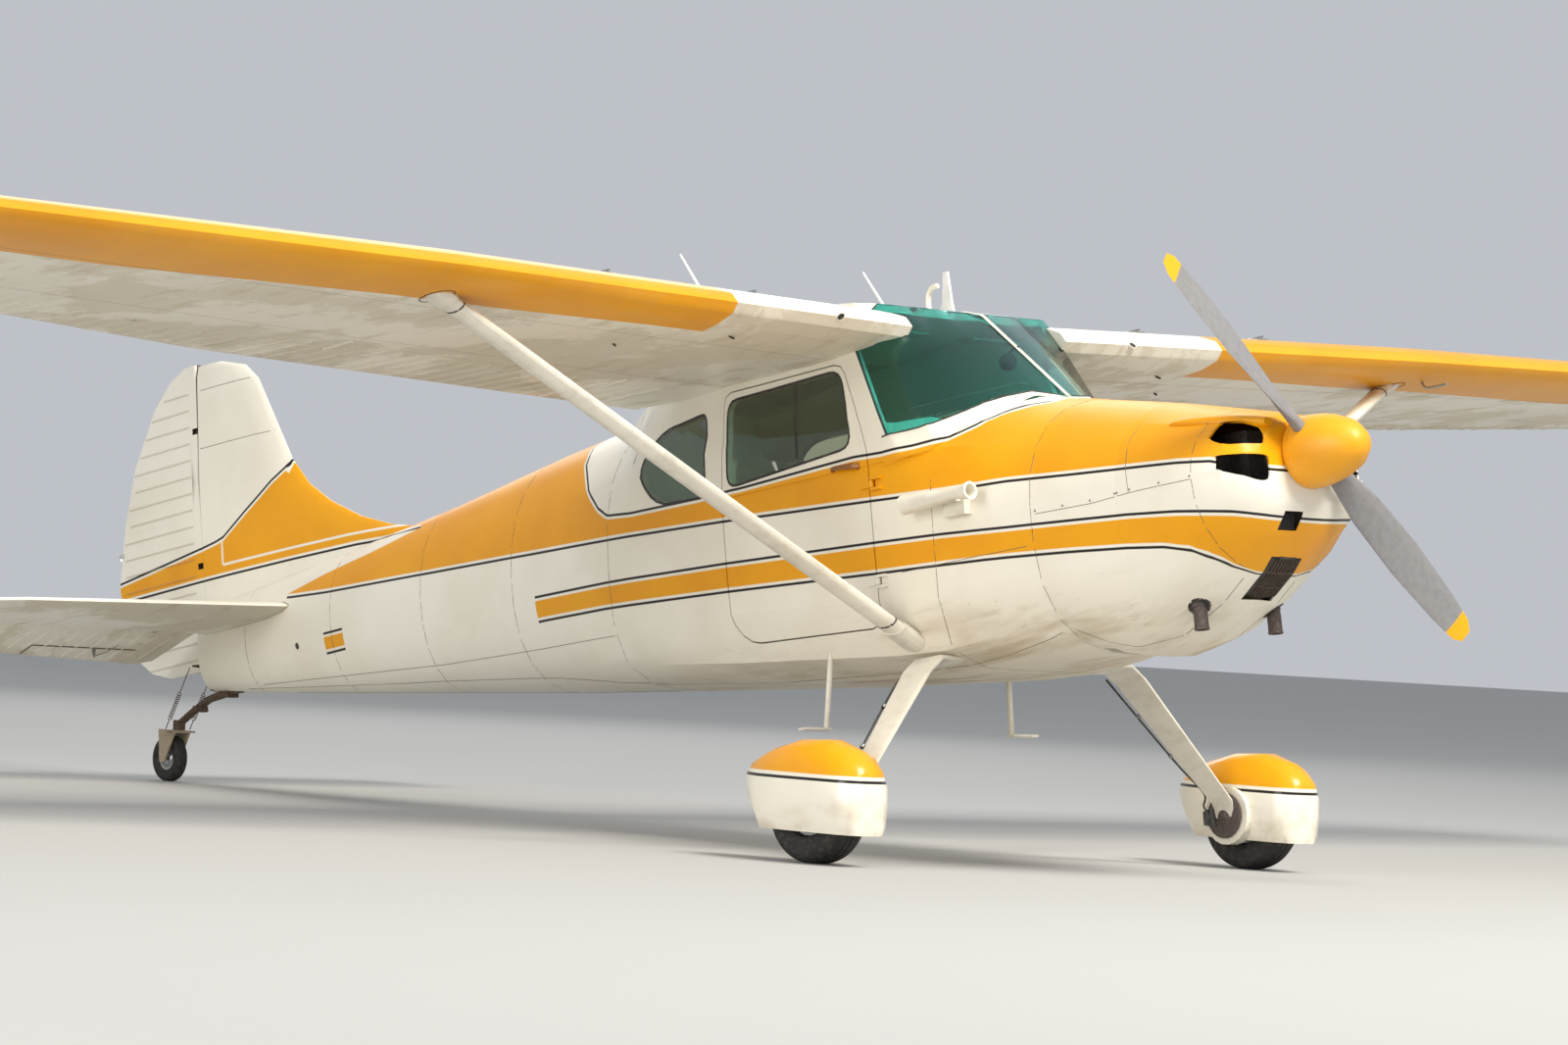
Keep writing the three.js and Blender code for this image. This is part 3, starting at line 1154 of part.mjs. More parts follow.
function buildAerial({ foot: [x, y], footZ, height, lean, radius }, skin) {
  const mast = rod([x, y, footZ - 1.4], [x + lean, y, footZ + height], radius * 1.6, radius, 8);
  const base = rod([x, y, footZ - 1.4], [x, y, footZ + 0.5], 0.7, 0.4, 12);
  return largest(cut(join(mast, base), skin));
}

const rightWingSkin = mirrored(wingSolid(seam));
part('aerial_wing', buildAerial(wingAerial, rightWingSkin), white);
part('aerial_roof', buildAerial(roofAerial, clearSkin), white);

function buildBladeAerial() {
  const outline = [
    [-36.4, 32.4], [-32.2, 32.4], [-32.6, 34.2], [-33.1, 39.2], [-34, 39.2], [-34.6, 34.4],
  ];
  const blade = sidePrism(outline, -0.22, 0.22);
  return largest(cut(blade, clearSkin));
}

function buildRoofTube() {
  const curve = new THREE.CatmullRomCurve3([[-33.6, 31.6], [-33.6, 35], [-33.1, 36.2], [-31.4, 36.4]]
    .map(([x, z]) => new THREE.Vector3(x, -4, z)));
  return largest(cut(tube(curve, 0.42, 5, 8), clearSkin));
}

part('aerial_blade', buildBladeAerial(), white);
part('roof_tube', buildRoofTube(), white);

const venturiProfile = [
  [1, -7.5], [0.42, -11], [0.62, -14.6], [1.2, -21.6], [1.5, -21.6], [1.15, -15], [0.8, -11],
  [1.35, -7.5], [1, -7.5],
];

function buildVenturi() {
  const horn = turned(venturiProfile, [0, 0, 0], 18).rotate([0, 0, -90]).translate(0, -23.3, 0.4);
  const bracket = box([-14.6, -22.6, -0.5], [-11.4, -19, 0.3]);
  const foot = box([-15.4, -21.6, -2.4], [-10.8, -19, 1.6]);
  return largest(cut(join(horn, bracket, foot), clearSkin));
}

part('venturi', buildVenturi(), white);

function buildFilter() {
  const pane = box([26, -filter.halfWidth + seam, filter.bottomZ + seam],
    [40, filter.halfWidth - seam, filter.topZ - seam]);
  const skin = cut(body(34, 20, -0.05), body(36, 18, -0.9));
  const duct = box([20, -2.4, -18], [29.4, 2.4, -15.6]).intersect(body(36, 18, -0.5));
  const stack = box([20, -2.4, -18], [23, 2.4, -10 - seam]);
  return largest(join(pane.intersect(skin), duct, stack));
}

part('air_filter', buildFilter(), black);

// Pitched nose-up as it parks, and set on the floor about the middle of its plan
parked.rotation.y = -radians(parkedPitch);
parked.add(airframe);
aircraft.add(parked);
const bounds = new THREE.Box3().setFromObject(aircraft, true);
parked.position.set(-(bounds.min.x + bounds.max.x) / 2, 0, -bounds.min.z);
export default aircraft;
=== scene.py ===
import math
import json
import bpy
import bmesh
from mathutils import Matrix, Vector
from mathutils.bvhtree import BVHTree


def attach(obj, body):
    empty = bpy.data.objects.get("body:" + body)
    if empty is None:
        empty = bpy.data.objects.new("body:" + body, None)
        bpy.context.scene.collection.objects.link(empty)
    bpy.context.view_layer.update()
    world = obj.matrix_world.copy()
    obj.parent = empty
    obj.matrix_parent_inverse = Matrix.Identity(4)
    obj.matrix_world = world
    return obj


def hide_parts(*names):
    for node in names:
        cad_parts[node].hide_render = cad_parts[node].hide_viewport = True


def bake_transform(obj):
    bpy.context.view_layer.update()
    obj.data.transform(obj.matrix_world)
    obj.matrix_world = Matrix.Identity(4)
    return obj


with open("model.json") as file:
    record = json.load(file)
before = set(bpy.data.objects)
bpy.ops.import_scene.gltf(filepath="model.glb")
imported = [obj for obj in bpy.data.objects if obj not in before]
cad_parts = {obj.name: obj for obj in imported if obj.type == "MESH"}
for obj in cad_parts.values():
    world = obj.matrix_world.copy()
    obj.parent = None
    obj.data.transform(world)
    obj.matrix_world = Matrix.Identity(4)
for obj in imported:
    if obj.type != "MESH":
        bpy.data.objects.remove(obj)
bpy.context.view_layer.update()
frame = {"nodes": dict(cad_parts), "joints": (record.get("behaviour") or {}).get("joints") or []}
nodes = frame["nodes"]
inch = 0.0254

# The airframe's own axes: inches forward, left and up from the thrust line. It is parked 10 degrees nose-up
propJoint = next(joint for joint in frame["joints"] if joint["name"] == "propeller_spin")
propStation = 39.4
forwardAxis = Vector((0.984808, 0, 0.173648))
leftAxis = Vector((0, 1, 0))
upAxis = Vector((-0.173648, 0, 0.984808))
airOrigin = Vector(propJoint["pos_m"]) - forwardAxis * propStation * inch


def air(x, y, z):  # a point of the airframe, in metres of the scene
    return airOrigin + (forwardAxis * x + leftAxis * y + upAxis * z) * inch


def toAir(point):  # and back again
    reach = (point - airOrigin) / inch
    return Vector((reach.dot(forwardAxis), reach.y, reach.dot(upAxis)))


# The camera stands where the photo was taken
camera = {
    "fromThrustLine": (15.0983, -15.135, -0.4942),  # metres from the firewall's point on the thrust line
    "yaw": 138.27,
    "pitch": 0.86,
    "roll": 3.0,
    "lens": 131.87,
}


def placeCamera(setup):
    yaw, pitch, roll = (math.radians(setup[part]) for part in ("yaw", "pitch", "roll"))
    ahead = Vector((math.cos(yaw) * math.cos(pitch), math.sin(yaw) * math.cos(pitch), math.sin(pitch)))
    right = Vector((math.sin(yaw), -math.cos(yaw), 0))
    above = right.cross(ahead)
    tiltedRight = right * math.cos(roll) + above * math.sin(roll)
    tiltedUp = above * math.cos(roll) - right * math.sin(roll)
    data = bpy.data.cameras.new("photoCamera")
    data.lens = setup["lens"]
    data.sensor_width = 36
    data.clip_end = 500
    view = bpy.data.objects.new("photoCamera", data)
    bpy.context.scene.collection.objects.link(view)
    turn = Matrix((tiltedRight, tiltedUp, -ahead)).transposed().to_4x4()
    view.matrix_world = Matrix.Translation(airOrigin + Vector(setup["fromThrustLine"])) @ turn
    bpy.context.scene.camera = view


placeCamera(camera)

# Soft studio: a pale floor, one large key lamp ahead on the right, two fills and a pale sky
studio = {
    "view": "Standard",
    "floorSize": 160,
    "floorColour": (0.44, 0.44, 0.43),
    "skyColour": (0.86, 0.90, 0.96),
    "skyStrength": 0.6,
    "lamps": [
        {"name": "keyLamp", "at": (13, 1, 14), "size": 7, "power": 4300, "tint": (1.0, 0.95, 0.86)},
        {"name": "sideLamp", "at": (4, -20, 6), "size": 9, "power": 1500, "tint": (1.0, 0.97, 0.92)},
        {"name": "backLamp", "at": (-14, 10, 10), "size": 10, "power": 620, "tint": (1.0, 0.97, 0.93)},
        {"name": "lowLamp", "at": (9, -14, 0.6), "size": 5, "power": 360, "tint": (1.0, 0.94, 0.84)},
    ],
}


# Helpers for shader nodes

def feed(tree, socket, term):  # by a link or a plain value
    if isinstance(term, bpy.types.NodeSocket):
        tree.links.new(term, socket)
    else:
        socket.default_value = term


def plug(tree, node, terms):  # sockets in order, or by name
    named = terms.items() if isinstance(terms, dict) else enumerate(terms)
    for key, term in named:
        feed(tree, node.inputs[key], term)


def calc(tree, operation, *terms, clamp=False):
    node = tree.nodes.new("ShaderNodeMath")
    node.operation = operation
    node.use_clamp = clamp
    plug(tree, node, terms)
    return node.outputs[0]


def times(tree, *terms, clamp=False):
    return calc(tree, "MULTIPLY", *terms, clamp=clamp)


def timesPlus(tree, *terms, clamp=False):  # the first two multiplied, and the third added
    return calc(tree, "MULTIPLY_ADD", *terms, clamp=clamp)


def minus(tree, *terms, clamp=False):
    return calc(tree, "SUBTRACT", *terms, clamp=clamp)


def larger(tree, *terms):
    return calc(tree, "MAXIMUM", *terms)


def vectorCalc(tree, operation, *terms):
    node = tree.nodes.new("ShaderNodeVectorMath")
    node.operation = operation
    plug(tree, node, terms)
    return node.outputs["Value" if operation == "DOT_PRODUCT" else "Vector"]


def ramp(tree, value, low, high, toLow=0.0, toHigh=1.0):  # a soft step from low to high
    node = tree.nodes.new("ShaderNodeMapRange")
    node.interpolation_type = "SMOOTHSTEP"
    plug(tree, node, (value, low, high, toLow, toHigh))
    return node.outputs[0]


def blendColour(tree, share, under, over):
    node = tree.nodes.new("ShaderNodeMix")
    node.data_type = "RGBA"
    feed(tree, node.inputs[0], share)
    for index, tone in ((6, under), (7, over)):
        feed(tree, node.inputs[index], (*tone, 1) if isinstance(tone, tuple) else tone)
    return node.outputs[2]


def noise(tree, place, scale, detail=3.0, roughness=0.55):
    node = tree.nodes.new("ShaderNodeTexNoise")
    plug(tree, node, {"Vector": place, "Scale": scale, "Detail": detail, "Roughness": roughness})
    return node.outputs[0]


def newGroup(name, inputs, outputs):
    tree = bpy.data.node_groups.new(name, "ShaderNodeTree")
    for label, kind, value in inputs:
        socket = tree.interface.new_socket(name=label, in_out="INPUT", socket_type=kind)
        if value is not None:
            socket.default_value = value
    for label, kind in outputs:
        tree.interface.new_socket(name=label, in_out="OUTPUT", socket_type=kind)
    return tree, tree.nodes.new("NodeGroupInput").outputs, tree.nodes.new("NodeGroupOutput").inputs


def useGroup(tree, group, **values):
    node = tree.nodes.new("ShaderNodeGroup")
    node.node_tree = group
    plug(tree, node, values)
    return node.outputs


number, vector = "NodeSocketFloat", "NodeSocketVector"


def makeAirframePlace():  # where a point lies on the airframe, in inches
    tree, _, out = newGroup("airframePlace", [], [("Place", vector), ("Normal", vector)])
    coords = tree.nodes.new("ShaderNodeTexCoord")
    reach = vectorCalc(tree, "SUBTRACT", coords.outputs["Object"], tuple(airOrigin))
    for source, label, scale in ((reach, "Place", 1 / inch), (coords.outputs["Normal"], "Normal", 1.0)):
        joined = tree.nodes.new("ShaderNodeCombineXYZ")
        for index, axis in enumerate((forwardAxis, leftAxis, upAxis)):
            along = vectorCalc(tree, "DOT_PRODUCT", source, tuple(axis))
            tree.links.new(times(tree, along, scale), joined.inputs[index])
        tree.links.new(joined.outputs[0], out[label])
    return tree


airframePlace = makeAirframePlace()


def splitPlace(tree, place):
    node = tree.nodes.new("ShaderNodeSeparateXYZ")
    tree.links.new(place, node.inputs[0])
    return node.outputs


def heightAt(tree, x, points, reach):  # height of a drawn line above the thrust line, for each x
    low, high, floor, top = reach
    curve = tree.nodes.new("ShaderNodeFloatCurve")
    curve.mapping.extend = "HORIZONTAL"
    spots = sorted(((px - low) / (high - low), (pz - floor) / (top - floor)) for px, pz in points)
    line = curve.mapping.curves[0]
    while len(line.points) < len(spots):
        line.points.new(0.5, 0.5)
    for spot, (u, v) in zip(line.points, spots):
        spot.location = (u, v)
        spot.handle_type = "VECTOR"
    curve.mapping.update()
    tree.links.new(ramped(tree, x, low, high), curve.inputs["Value"])
    return timesPlus(tree, curve.outputs[0], top - floor, floor)


def ramped(tree, value, low, high):
    return calc(tree, "DIVIDE", minus(tree, value, low), high - low, clamp=True)


def offLine(tree, x, z, points, reach):  # distance of a point above a drawn line, square to it
    height = heightAt(tree, x, points, reach)
    ahead = heightAt(tree, calc(tree, "ADD", x, 1.0), points, reach)
    slope = minus(tree, ahead, height)
    lean = calc(tree, "SQRT", timesPlus(tree, slope, slope, 1.0))
    return calc(tree, "DIVIDE", minus(tree, z, height), lean)


def within(tree, distance, low, high, soft=0.06):  # 1 between two distances
    start = ramp(tree, distance, low - soft, low + soft)
    end = ramp(tree, distance, high - soft, high + soft, 1.0, 0.0)
    return times(tree, start, end)


# The painted stripes, as heights above the thrust line along the airframe, in inches
stripes = {
    "forwardReach": (-200.0, 42.0, -24.0, 31.0),
    "aftReach": (-252.0, -150.0, 0.0, 62.0),
    "blackHalf": 0.2,
    "creamGap": 0.62,
    "far": 90,  # beyond the airframe, in every direction
    "beltLow": [(40, -3.4), (36.8, -2.7), (32.6, -1.3), (27, -0.7), (18.1, -0.1), (7, 0.6), (-4.4, 1.4),
                (-16.1, 1.7), (-28.7, 2.4), (-95.4, 6.5), (-125, 8.2), (-153.3, 9.7), (-182.2, 11.1),
                (-193.2, 11.9), (-200, 12.6)],
    "beltTop": [(42, 30), (-3, 30), (-3.6, 16), (-4.2, 14.2), (-5, 13.6), (-6.8, 13.3), (-9.9, 12.6),
                (-12.2, 11), (-16.6, 9.4), (-22.1, 8.9), (-28.3, 8.8), (-34.5, 9.1), (-60, 8.4), (-70, 8.5),
                (-88.9, 9.1), (-95.7, 9.8), (-98.9, 11.5), (-102.1, 14.3), (-104.9, 17.7), (-108.8, 22.5),
                (-112, 30), (-150, 30), (-158.3, 18.4), (-170.5, 16.3), (-183.8, 14.6), (-196.5, 12.5)],
    "beltEnd": -200,
    "beltBlackEnd": -195,
    "deckReach": (-122, -4.5),
    "lowTop": [(40, -9.8), (36.6, -9.5), (35.7, -9.1), (33.9, -8.5), (26.2, -7.5), (17.6, -6.7), (6.6, -6),
               (-4.8, -5.3), (-16.6, -4.5), (-29.2, -3.8), (-96.4, -0.1), (-116.3, 0.7), (-200, 4)],
    "lowBottom": [(40, -17.2), (30.2, -17.2), (29.6, -16.6), (28.3, -14.5), (25.9, -12.9), (22.5, -12),
                  (16.4, -11.3), (5.7, -10.4), (-5.5, -9.6), (-17.2, -9), (-29.7, -8.4), (-97.2, -4.1),
                  (-117, -3.2), (-200, 0)],
    "lowEnd": -118.0,
    "stub": {"x": (-183, -177), "z": (0.75, 4.1)},
    "tailLow": [(-150, 18.4), (-158.5, 18.6), (-180, 19.2), (-197, 19.3), (-214.9, 19.3), (-252, 19.0)],
    "tailTop": [(-150, 61), (-190, 61), (-198.3, 36.2), (-207.5, 31.3), (-217.5, 26.1), (-219.8, 25.6),
                (-223.6, 25.1), (-235.4, 23.9), (-252, 22.3)],
    "tailReach": (-260, -157.5),
    "tailTopReach": (-260, -190),
    "finOutline": {"above": 2.0, "half": 0.22, "rear": -218.0, "riser": 0.25},
}


def makePaintScheme():
    tree, _, out = newGroup("paintScheme", [], [("Yellow", number), ("Black", number)])
    x, y, z = splitPlace(tree, useGroup(tree, airframePlace)["Place"])
    half, gap, far = (stripes[key] for key in ("blackHalf", "creamGap", "far"))
    beltLow, beltTop, lowTop, lowBottom = (
        offLine(tree, x, z, stripes[key], stripes["forwardReach"])
        for key in ("beltLow", "beltTop", "lowTop", "lowBottom"))
    tailLow, tailTop = (
        offLine(tree, x, z, stripes[key], stripes["aftReach"]) for key in ("tailLow", "tailTop"))
    beforeTail = within(tree, x, stripes["beltEnd"], far)
    onDeck = within(tree, x, *stripes["deckReach"])
    beforeLowEnd = within(tree, x, stripes["lowEnd"], far)
    onTail = within(tree, x, *stripes["tailReach"])
    belt = times(tree, within(tree, beltLow, gap, far), within(tree, beltTop, -far, 0))
    low = times(tree, within(tree, lowTop, -far, -gap), within(tree, lowBottom, gap, far))
    tail = times(tree, within(tree, tailLow, gap, far), within(tree, tailTop, -far, -gap))
    (rear, front), (foot, top) = stripes["stub"]["x"], stripes["stub"]["z"]
    stubLong = within(tree, x, rear, front)
    stubYellow = within(tree, z, foot + gap, top - gap)
    outline = stripes["finOutline"]
    above, edge, thin = outline["above"], outline["rear"], outline["half"]
    riser = times(tree, within(tree, x, edge - outline["riser"], edge + outline["riser"]),
                  within(tree, tailLow, above, far))
    ledge = times(tree, within(tree, tailLow, above - thin, above + thin), within(tree, x, edge, 0))
    cream = larger(tree, riser, ledge)
    yellowParts = [
        (belt, beforeTail), (low, beforeLowEnd), (stubLong, stubYellow),
        (times(tree, tail, onTail), minus(tree, 1.0, cream, clamp=True)),
    ]
    blackParts = [
        (within(tree, beltLow, -half, half), within(tree, x, stripes["beltBlackEnd"], far)),
        (within(tree, beltTop, gap - half, gap + half), onDeck),
        (within(tree, lowTop, -half, half), beforeLowEnd),
        (within(tree, lowBottom, -half, half), beforeLowEnd),
        (within(tree, tailLow, -half, half), onTail),
        (within(tree, tailTop, -half, half), within(tree, x, *stripes["tailTopReach"])),
        (stubLong, within(tree, z, foot - half, foot + half)),
        (stubLong, within(tree, z, top - half, top + half)),
    ]
    for label, parts in (("Yellow", yellowParts), ("Black", blackParts)):
        total = 0.0
        for part in parts:
            total = larger(tree, times(tree, *part), total)
        tree.links.new(total, out[label])
    return tree


paintScheme = makePaintScheme()


def makeGrime():  # streaks and patches of dirt, drawn out along the airflow
    tree, given, out = newGroup(
        "airflowGrime",
        [("Scale", number, 0.12), ("Stretch", number, 0.2), ("Threshold", number, 0.5),
         ("Softness", number, 0.15)],
        [("Mask", number), ("Speckle", number)],
    )
    x, y, z = splitPlace(tree, useGroup(tree, airframePlace)["Place"])
    joined = tree.nodes.new("ShaderNodeCombineXYZ")
    plug(tree, joined, (times(tree, x, given["Stretch"]), y, z))
    patches = noise(tree, joined.outputs[0], given["Scale"], 6.0, 0.62)
    upper = calc(tree, "ADD", given["Threshold"], given["Softness"])
    spread = tree.nodes.new("ShaderNodeMapRange")
    plug(tree, spread, (patches, given["Threshold"], upper, 0.0, 1.0))
    tree.links.new(spread.outputs[0], out["Mask"])
    speck = noise(tree, joined.outputs[0], times(tree, given["Scale"], 22.0), 2.0)
    tree.links.new(ramp(tree, speck, 0.62, 0.74), out["Speckle"])
    return tree


airflowGrime = makeGrime()


def makePaintSkin():  # the fine unevenness of sprayed paint on thin sheet
    tree, given, out = newGroup(
        "paintSkin",
        [("Peel", number, 0.02), ("Ripple", number, 0.1)],
        [("Height", number), ("Shade", number)],
    )
    place = useGroup(tree, airframePlace)["Place"]
    peel = times(tree, noise(tree, place, 9.0, 2.0), given["Peel"])
    ripple = times(tree, noise(tree, place, 0.09, 2.0), given["Ripple"])
    tree.links.new(calc(tree, "ADD", peel, ripple), out["Height"])
    tree.links.new(noise(tree, place, 0.05, 4.0), out["Shade"])
    return tree


paintSkin = makePaintSkin()


def newMaterial(name, colourNow, roughness, metallic=0.0, **sockets):
    material = bpy.data.materials.new(name)
    material.use_nodes = True
    material.diffuse_color = (*colourNow, 1)
    tree = material.node_tree
    shader = tree.nodes["Principled BSDF"]
    shader.inputs["Base Color"].default_value = (*colourNow, 1)
    shader.inputs["Roughness"].default_value = roughness
    shader.inputs["Metallic"].default_value = metallic
    for label, value in sockets.items():
        shader.inputs[label.replace("_", " ")].default_value = value
    return material, tree, shader


def setSurface(tree, shader, base=None, rough=None, height=None, depth=0.001, strength=0.3):
    if base is not None:
        tree.links.new(base, shader.inputs["Base Color"])
    if rough is not None:
        tree.links.new(rough, shader.inputs["Roughness"])
    if height is not None:
        bump = tree.nodes.new("ShaderNodeBump")
        bump.inputs["Strength"].default_value = strength
        bump.inputs["Distance"].default_value = depth
        tree.links.new(height, bump.inputs["Height"])
        tree.links.new(bump.outputs[0], shader.inputs["Normal"])


# Paint colours and how dirty each painted part is
paint = {
    "cream": (0.86, 0.82, 0.71),
    "creamShade": (0.80, 0.75, 0.63),
    "yellow": (0.82, 0.36, 0.002),
    "yellowShade": (0.76, 0.31, 0.002),
    "black": (0.012, 0.011, 0.011),
    # grime is a dirt colour, also used for painted shade in the rudder's cove and on the rudder's ridges
    "grime": (0.33, 0.24, 0.15),
    "stain": (0.47, 0.38, 0.25),
    "cabinCloth": (0.64, 0.62, 0.53),
    "roughness": 0.38,
    "gloss": {"Coat_Weight": 0.05, "Coat_Roughness": 0.15, "Specular_IOR_Level": 0.32},
    "ripple": {"Peel": 0.02, "Ripple": 0.12},
    "belly": {"from": -11.5, "to": -22.0, "reach": (-150, 22, 18)},
    "bellyPatches": {"Scale": 0.16, "Stretch": 0.22, "Threshold": 0.46, "Softness": 0.2},
    "streaks": {"Scale": 0.5, "Stretch": 0.12, "Threshold": 0.6, "Softness": 0.1},
    "finHalf": [(0, 1.3), (37, 1.3), (52.6, 1.0), (55.6, 0.9), (57.3, 0.6)],
    "finHalfReach": (0.0, 60.0, 0.0, 2.0),
    "cove": {"reach": (-226.2, -223.1), "edge": (0.1, 0.25)},  # painted shade in the gap the rudder turns in
    "lining": {"half": 20.4, "ceiling": (10, 31), "floor": (-24, 8)},
    # how far the rudder's ridges are darkened toward the grime colour: dirt on them and painted shade for
    # their pressed corrugations
    "ridgeSoilAndShade": 0.35,
}


def paintedBase(tree, yellow, black):
    skin = useGroup(tree, paintSkin, **paint["ripple"])
    cream, amber = (
        blendColour(tree, ramp(tree, skin["Shade"], 0.35, 0.7), paint[tone], paint[tone + "Shade"])
        for tone in ("cream", "yellow"))
    base = blendColour(tree, yellow, cream, amber) if yellow is not None else cream
    if black is not None:
        base = blendColour(tree, black, base, paint["black"])
    return base, skin["Height"]


def makeFuselagePaint(name, lined, soilAndShade=0.0):
    material, tree, shader = newMaterial(name, paint["cream"], paint["roughness"], **paint["gloss"])
    scheme = useGroup(tree, paintScheme)
    base, height = paintedBase(tree, scheme["Yellow"], scheme["Black"])
    place = useGroup(tree, airframePlace)
    x, y, z = splitPlace(tree, place["Place"])
    grime = useGroup(tree, airflowGrime, **paint["bellyPatches"])
    belly = ramp(tree, z, paint["belly"]["from"], paint["belly"]["to"])
    belly = times(tree, belly, within(tree, x, *paint["belly"]["reach"]))
    dirt = times(tree, belly, timesPlus(tree, grime["Mask"], 0.6, 0.3))
    base = blendColour(tree, dirt, base, paint["stain"])
    streaks = useGroup(tree, airflowGrime, **paint["streaks"])
    dark = times(tree, streaks["Mask"], timesPlus(tree, belly, 0.45, 0.03))
    base = blendColour(tree, dark, base, paint["grime"])
    rough = timesPlus(tree, larger(tree, dirt, dark), 0.5, paint["roughness"])
    # The fin's rear edge, where it turns into the gap before the rudder, is painted with the grime colour and
    # then near-black: painted shade in the cove
    thick = heightAt(tree, z, paint["finHalf"], paint["finHalfReach"])
    cove = ramp(tree, minus(tree, thick, calc(tree, "ABSOLUTE", y)), *paint["cove"]["edge"])
    cove = times(tree, cove, within(tree, x, *paint["cove"]["reach"]))
    base = blendColour(tree, cove, base, paint["grime"])
    base = blendColour(tree, times(tree, cove, 0.9), base, paint["black"])
    # a darkening of the whole part toward the grime colour: dirt and painted shade, as on the rudder's ridges
    if soilAndShade > 0:
        base = blendColour(tree, soilAndShade, base, paint["grime"])
    if lined:  # inside the cabin the skin is trimmed with grey-green cloth
        nx, ny, nz = splitPlace(tree, place["Normal"])
        inward = times(tree, ny, calc(tree, "SIGN", y))
        deep = minus(tree, paint["lining"]["half"], calc(tree, "ABSOLUTE", y))
        lining = times(tree, ramp(tree, inward, -0.25, -0.4), ramp(tree, deep, 0.0, 0.3))
        ceiling = times(tree, ramp(tree, nz, -0.5, -0.7), within(tree, z, *paint["lining"]["ceiling"]))
        ceiling = times(tree, ceiling, ramp(tree, deep, 1.5, 2.5))
        floor = times(tree, ramp(tree, nz, 0.5, 0.7), within(tree, z, *paint["lining"]["floor"]))
        lining = larger(tree, lining, larger(tree, ceiling, floor))
        base = blendColour(tree, lining, base, paint["cabinCloth"])
        rough = timesPlus(tree, lining, 0.5, rough, clamp=True)
    setSurface(tree, shader, base, rough, height, 0.002, 0.25)
    return material


skinPaint = makeFuselagePaint("fuselagePaint", False)
cabinPaint = makeFuselagePaint("cabinPaint", True)
ridgePaint = makeFuselagePaint("ridgePaint", False, paint["ridgeSoilAndShade"])

# The wings: cream, with a yellow leading edge from outside the struts' roots to the tips
wingBand = {
    "innerEdge": 50.4,
    "curveX": -27.0,
    "curve": 0.012,
    "aftEdge": [(44, -33.4), (60, -33.8), (85, -35.4), (105, -36.0), (128, -38.9), (150, -41.8), (216, -45)],
    "edgeReach": (40.0, 216.0, -50.0, -20.0),
    "roughness": 0.36,
    "wornColour": (0.54, 0.47, 0.34),
    "worn": {"Scale": 0.055, "Stretch": 0.9, "Threshold": 0.48, "Softness": 0.05},
    "fine": {"Scale": 0.35, "Stretch": 0.25, "Threshold": 0.55, "Softness": 0.12},
}


def makeWingPaint():
    material, tree, shader = newMaterial("wingPaint", paint["cream"], wingBand["roughness"], **paint["gloss"])
    place, band = useGroup(tree, airframePlace), wingBand
    x, y, z = splitPlace(tree, place["Place"])
    nx, ny, nz = splitPlace(tree, place["Normal"])
    out = calc(tree, "ABSOLUTE", y)
    edge = heightAt(tree, out, band["aftEdge"], band["edgeReach"])
    aft = minus(tree, x, edge)
    curved = minus(tree, x, band["curveX"])
    inner = times(tree, curved, curved)
    inner = timesPlus(tree, inner, -band["curve"], band["innerEdge"])
    yellow = ramp(tree, minus(tree, out, inner), -0.1, 0.1)
    yellow = times(tree, within(tree, aft, 0, 60), yellow)
    base, height = paintedBase(tree, yellow, None)
    under = ramp(tree, nz, 0.1, -0.3)
    patches = useGroup(tree, airflowGrime, **band["worn"])
    fine = useGroup(tree, airflowGrime, **band["fine"])
    calm = minus(tree, 1.0, times(tree, yellow, 0.9))
    worn = times(tree, times(tree, patches["Mask"], under), calm)
    base = blendColour(tree, times(tree, worn, 0.42), base, band["wornColour"])
    dirt = times(tree, times(tree, fine["Mask"], under), times(tree, calm, 0.4))
    base = blendColour(tree, dirt, base, paint["stain"])
    specks = times(tree, times(tree, fine["Speckle"], under), 0.35)
    base = blendColour(tree, specks, base, paint["grime"])
    rough = timesPlus(tree, larger(tree, worn, dirt), 0.3, 0.34)
    setSurface(tree, shader, base, rough, height, 0.002, 0.25)
    return material


wingPaint = makeWingPaint()

# The wheel fairings: yellow above a black line, cream below
fairingLine = {"line": -44.0, "half": 0.22, "gap": 0.75, "slope": 0.1763, "mudFrom": -43, "mudTo": -47.5,
               "mud": {"Scale": 0.3, "Stretch": 0.7, "Threshold": 0.42, "Softness": 0.3},
               "gloss": {"Coat_Weight": 0.15, "Specular_IOR_Level": 0.4}}


def makeFairingPaint():
    line = fairingLine
    material, tree, shader = newMaterial("fairingPaint", paint["cream"], 0.28, **line["gloss"])
    x, y, z = splitPlace(tree, useGroup(tree, airframePlace)["Place"])
    off = minus(tree, timesPlus(tree, x, line["slope"], z), line["line"])
    yellow = within(tree, off, line["gap"], 60)
    black = within(tree, off, -line["half"], line["half"])
    base, height = paintedBase(tree, yellow, black)
    grime = useGroup(tree, airflowGrime, **line["mud"])
    low = ramp(tree, z, line["mudFrom"], line["mudTo"])
    mud = times(tree, low, timesPlus(tree, grime["Mask"], 0.6, 0.1))
    base = blendColour(tree, mud, base, paint["stain"])
    rough = timesPlus(tree, mud, 0.5, 0.28)
    setSurface(tree, shader, base, rough, height, 0.002, 0.2)
    return material


fairingPaint = makeFairingPaint()


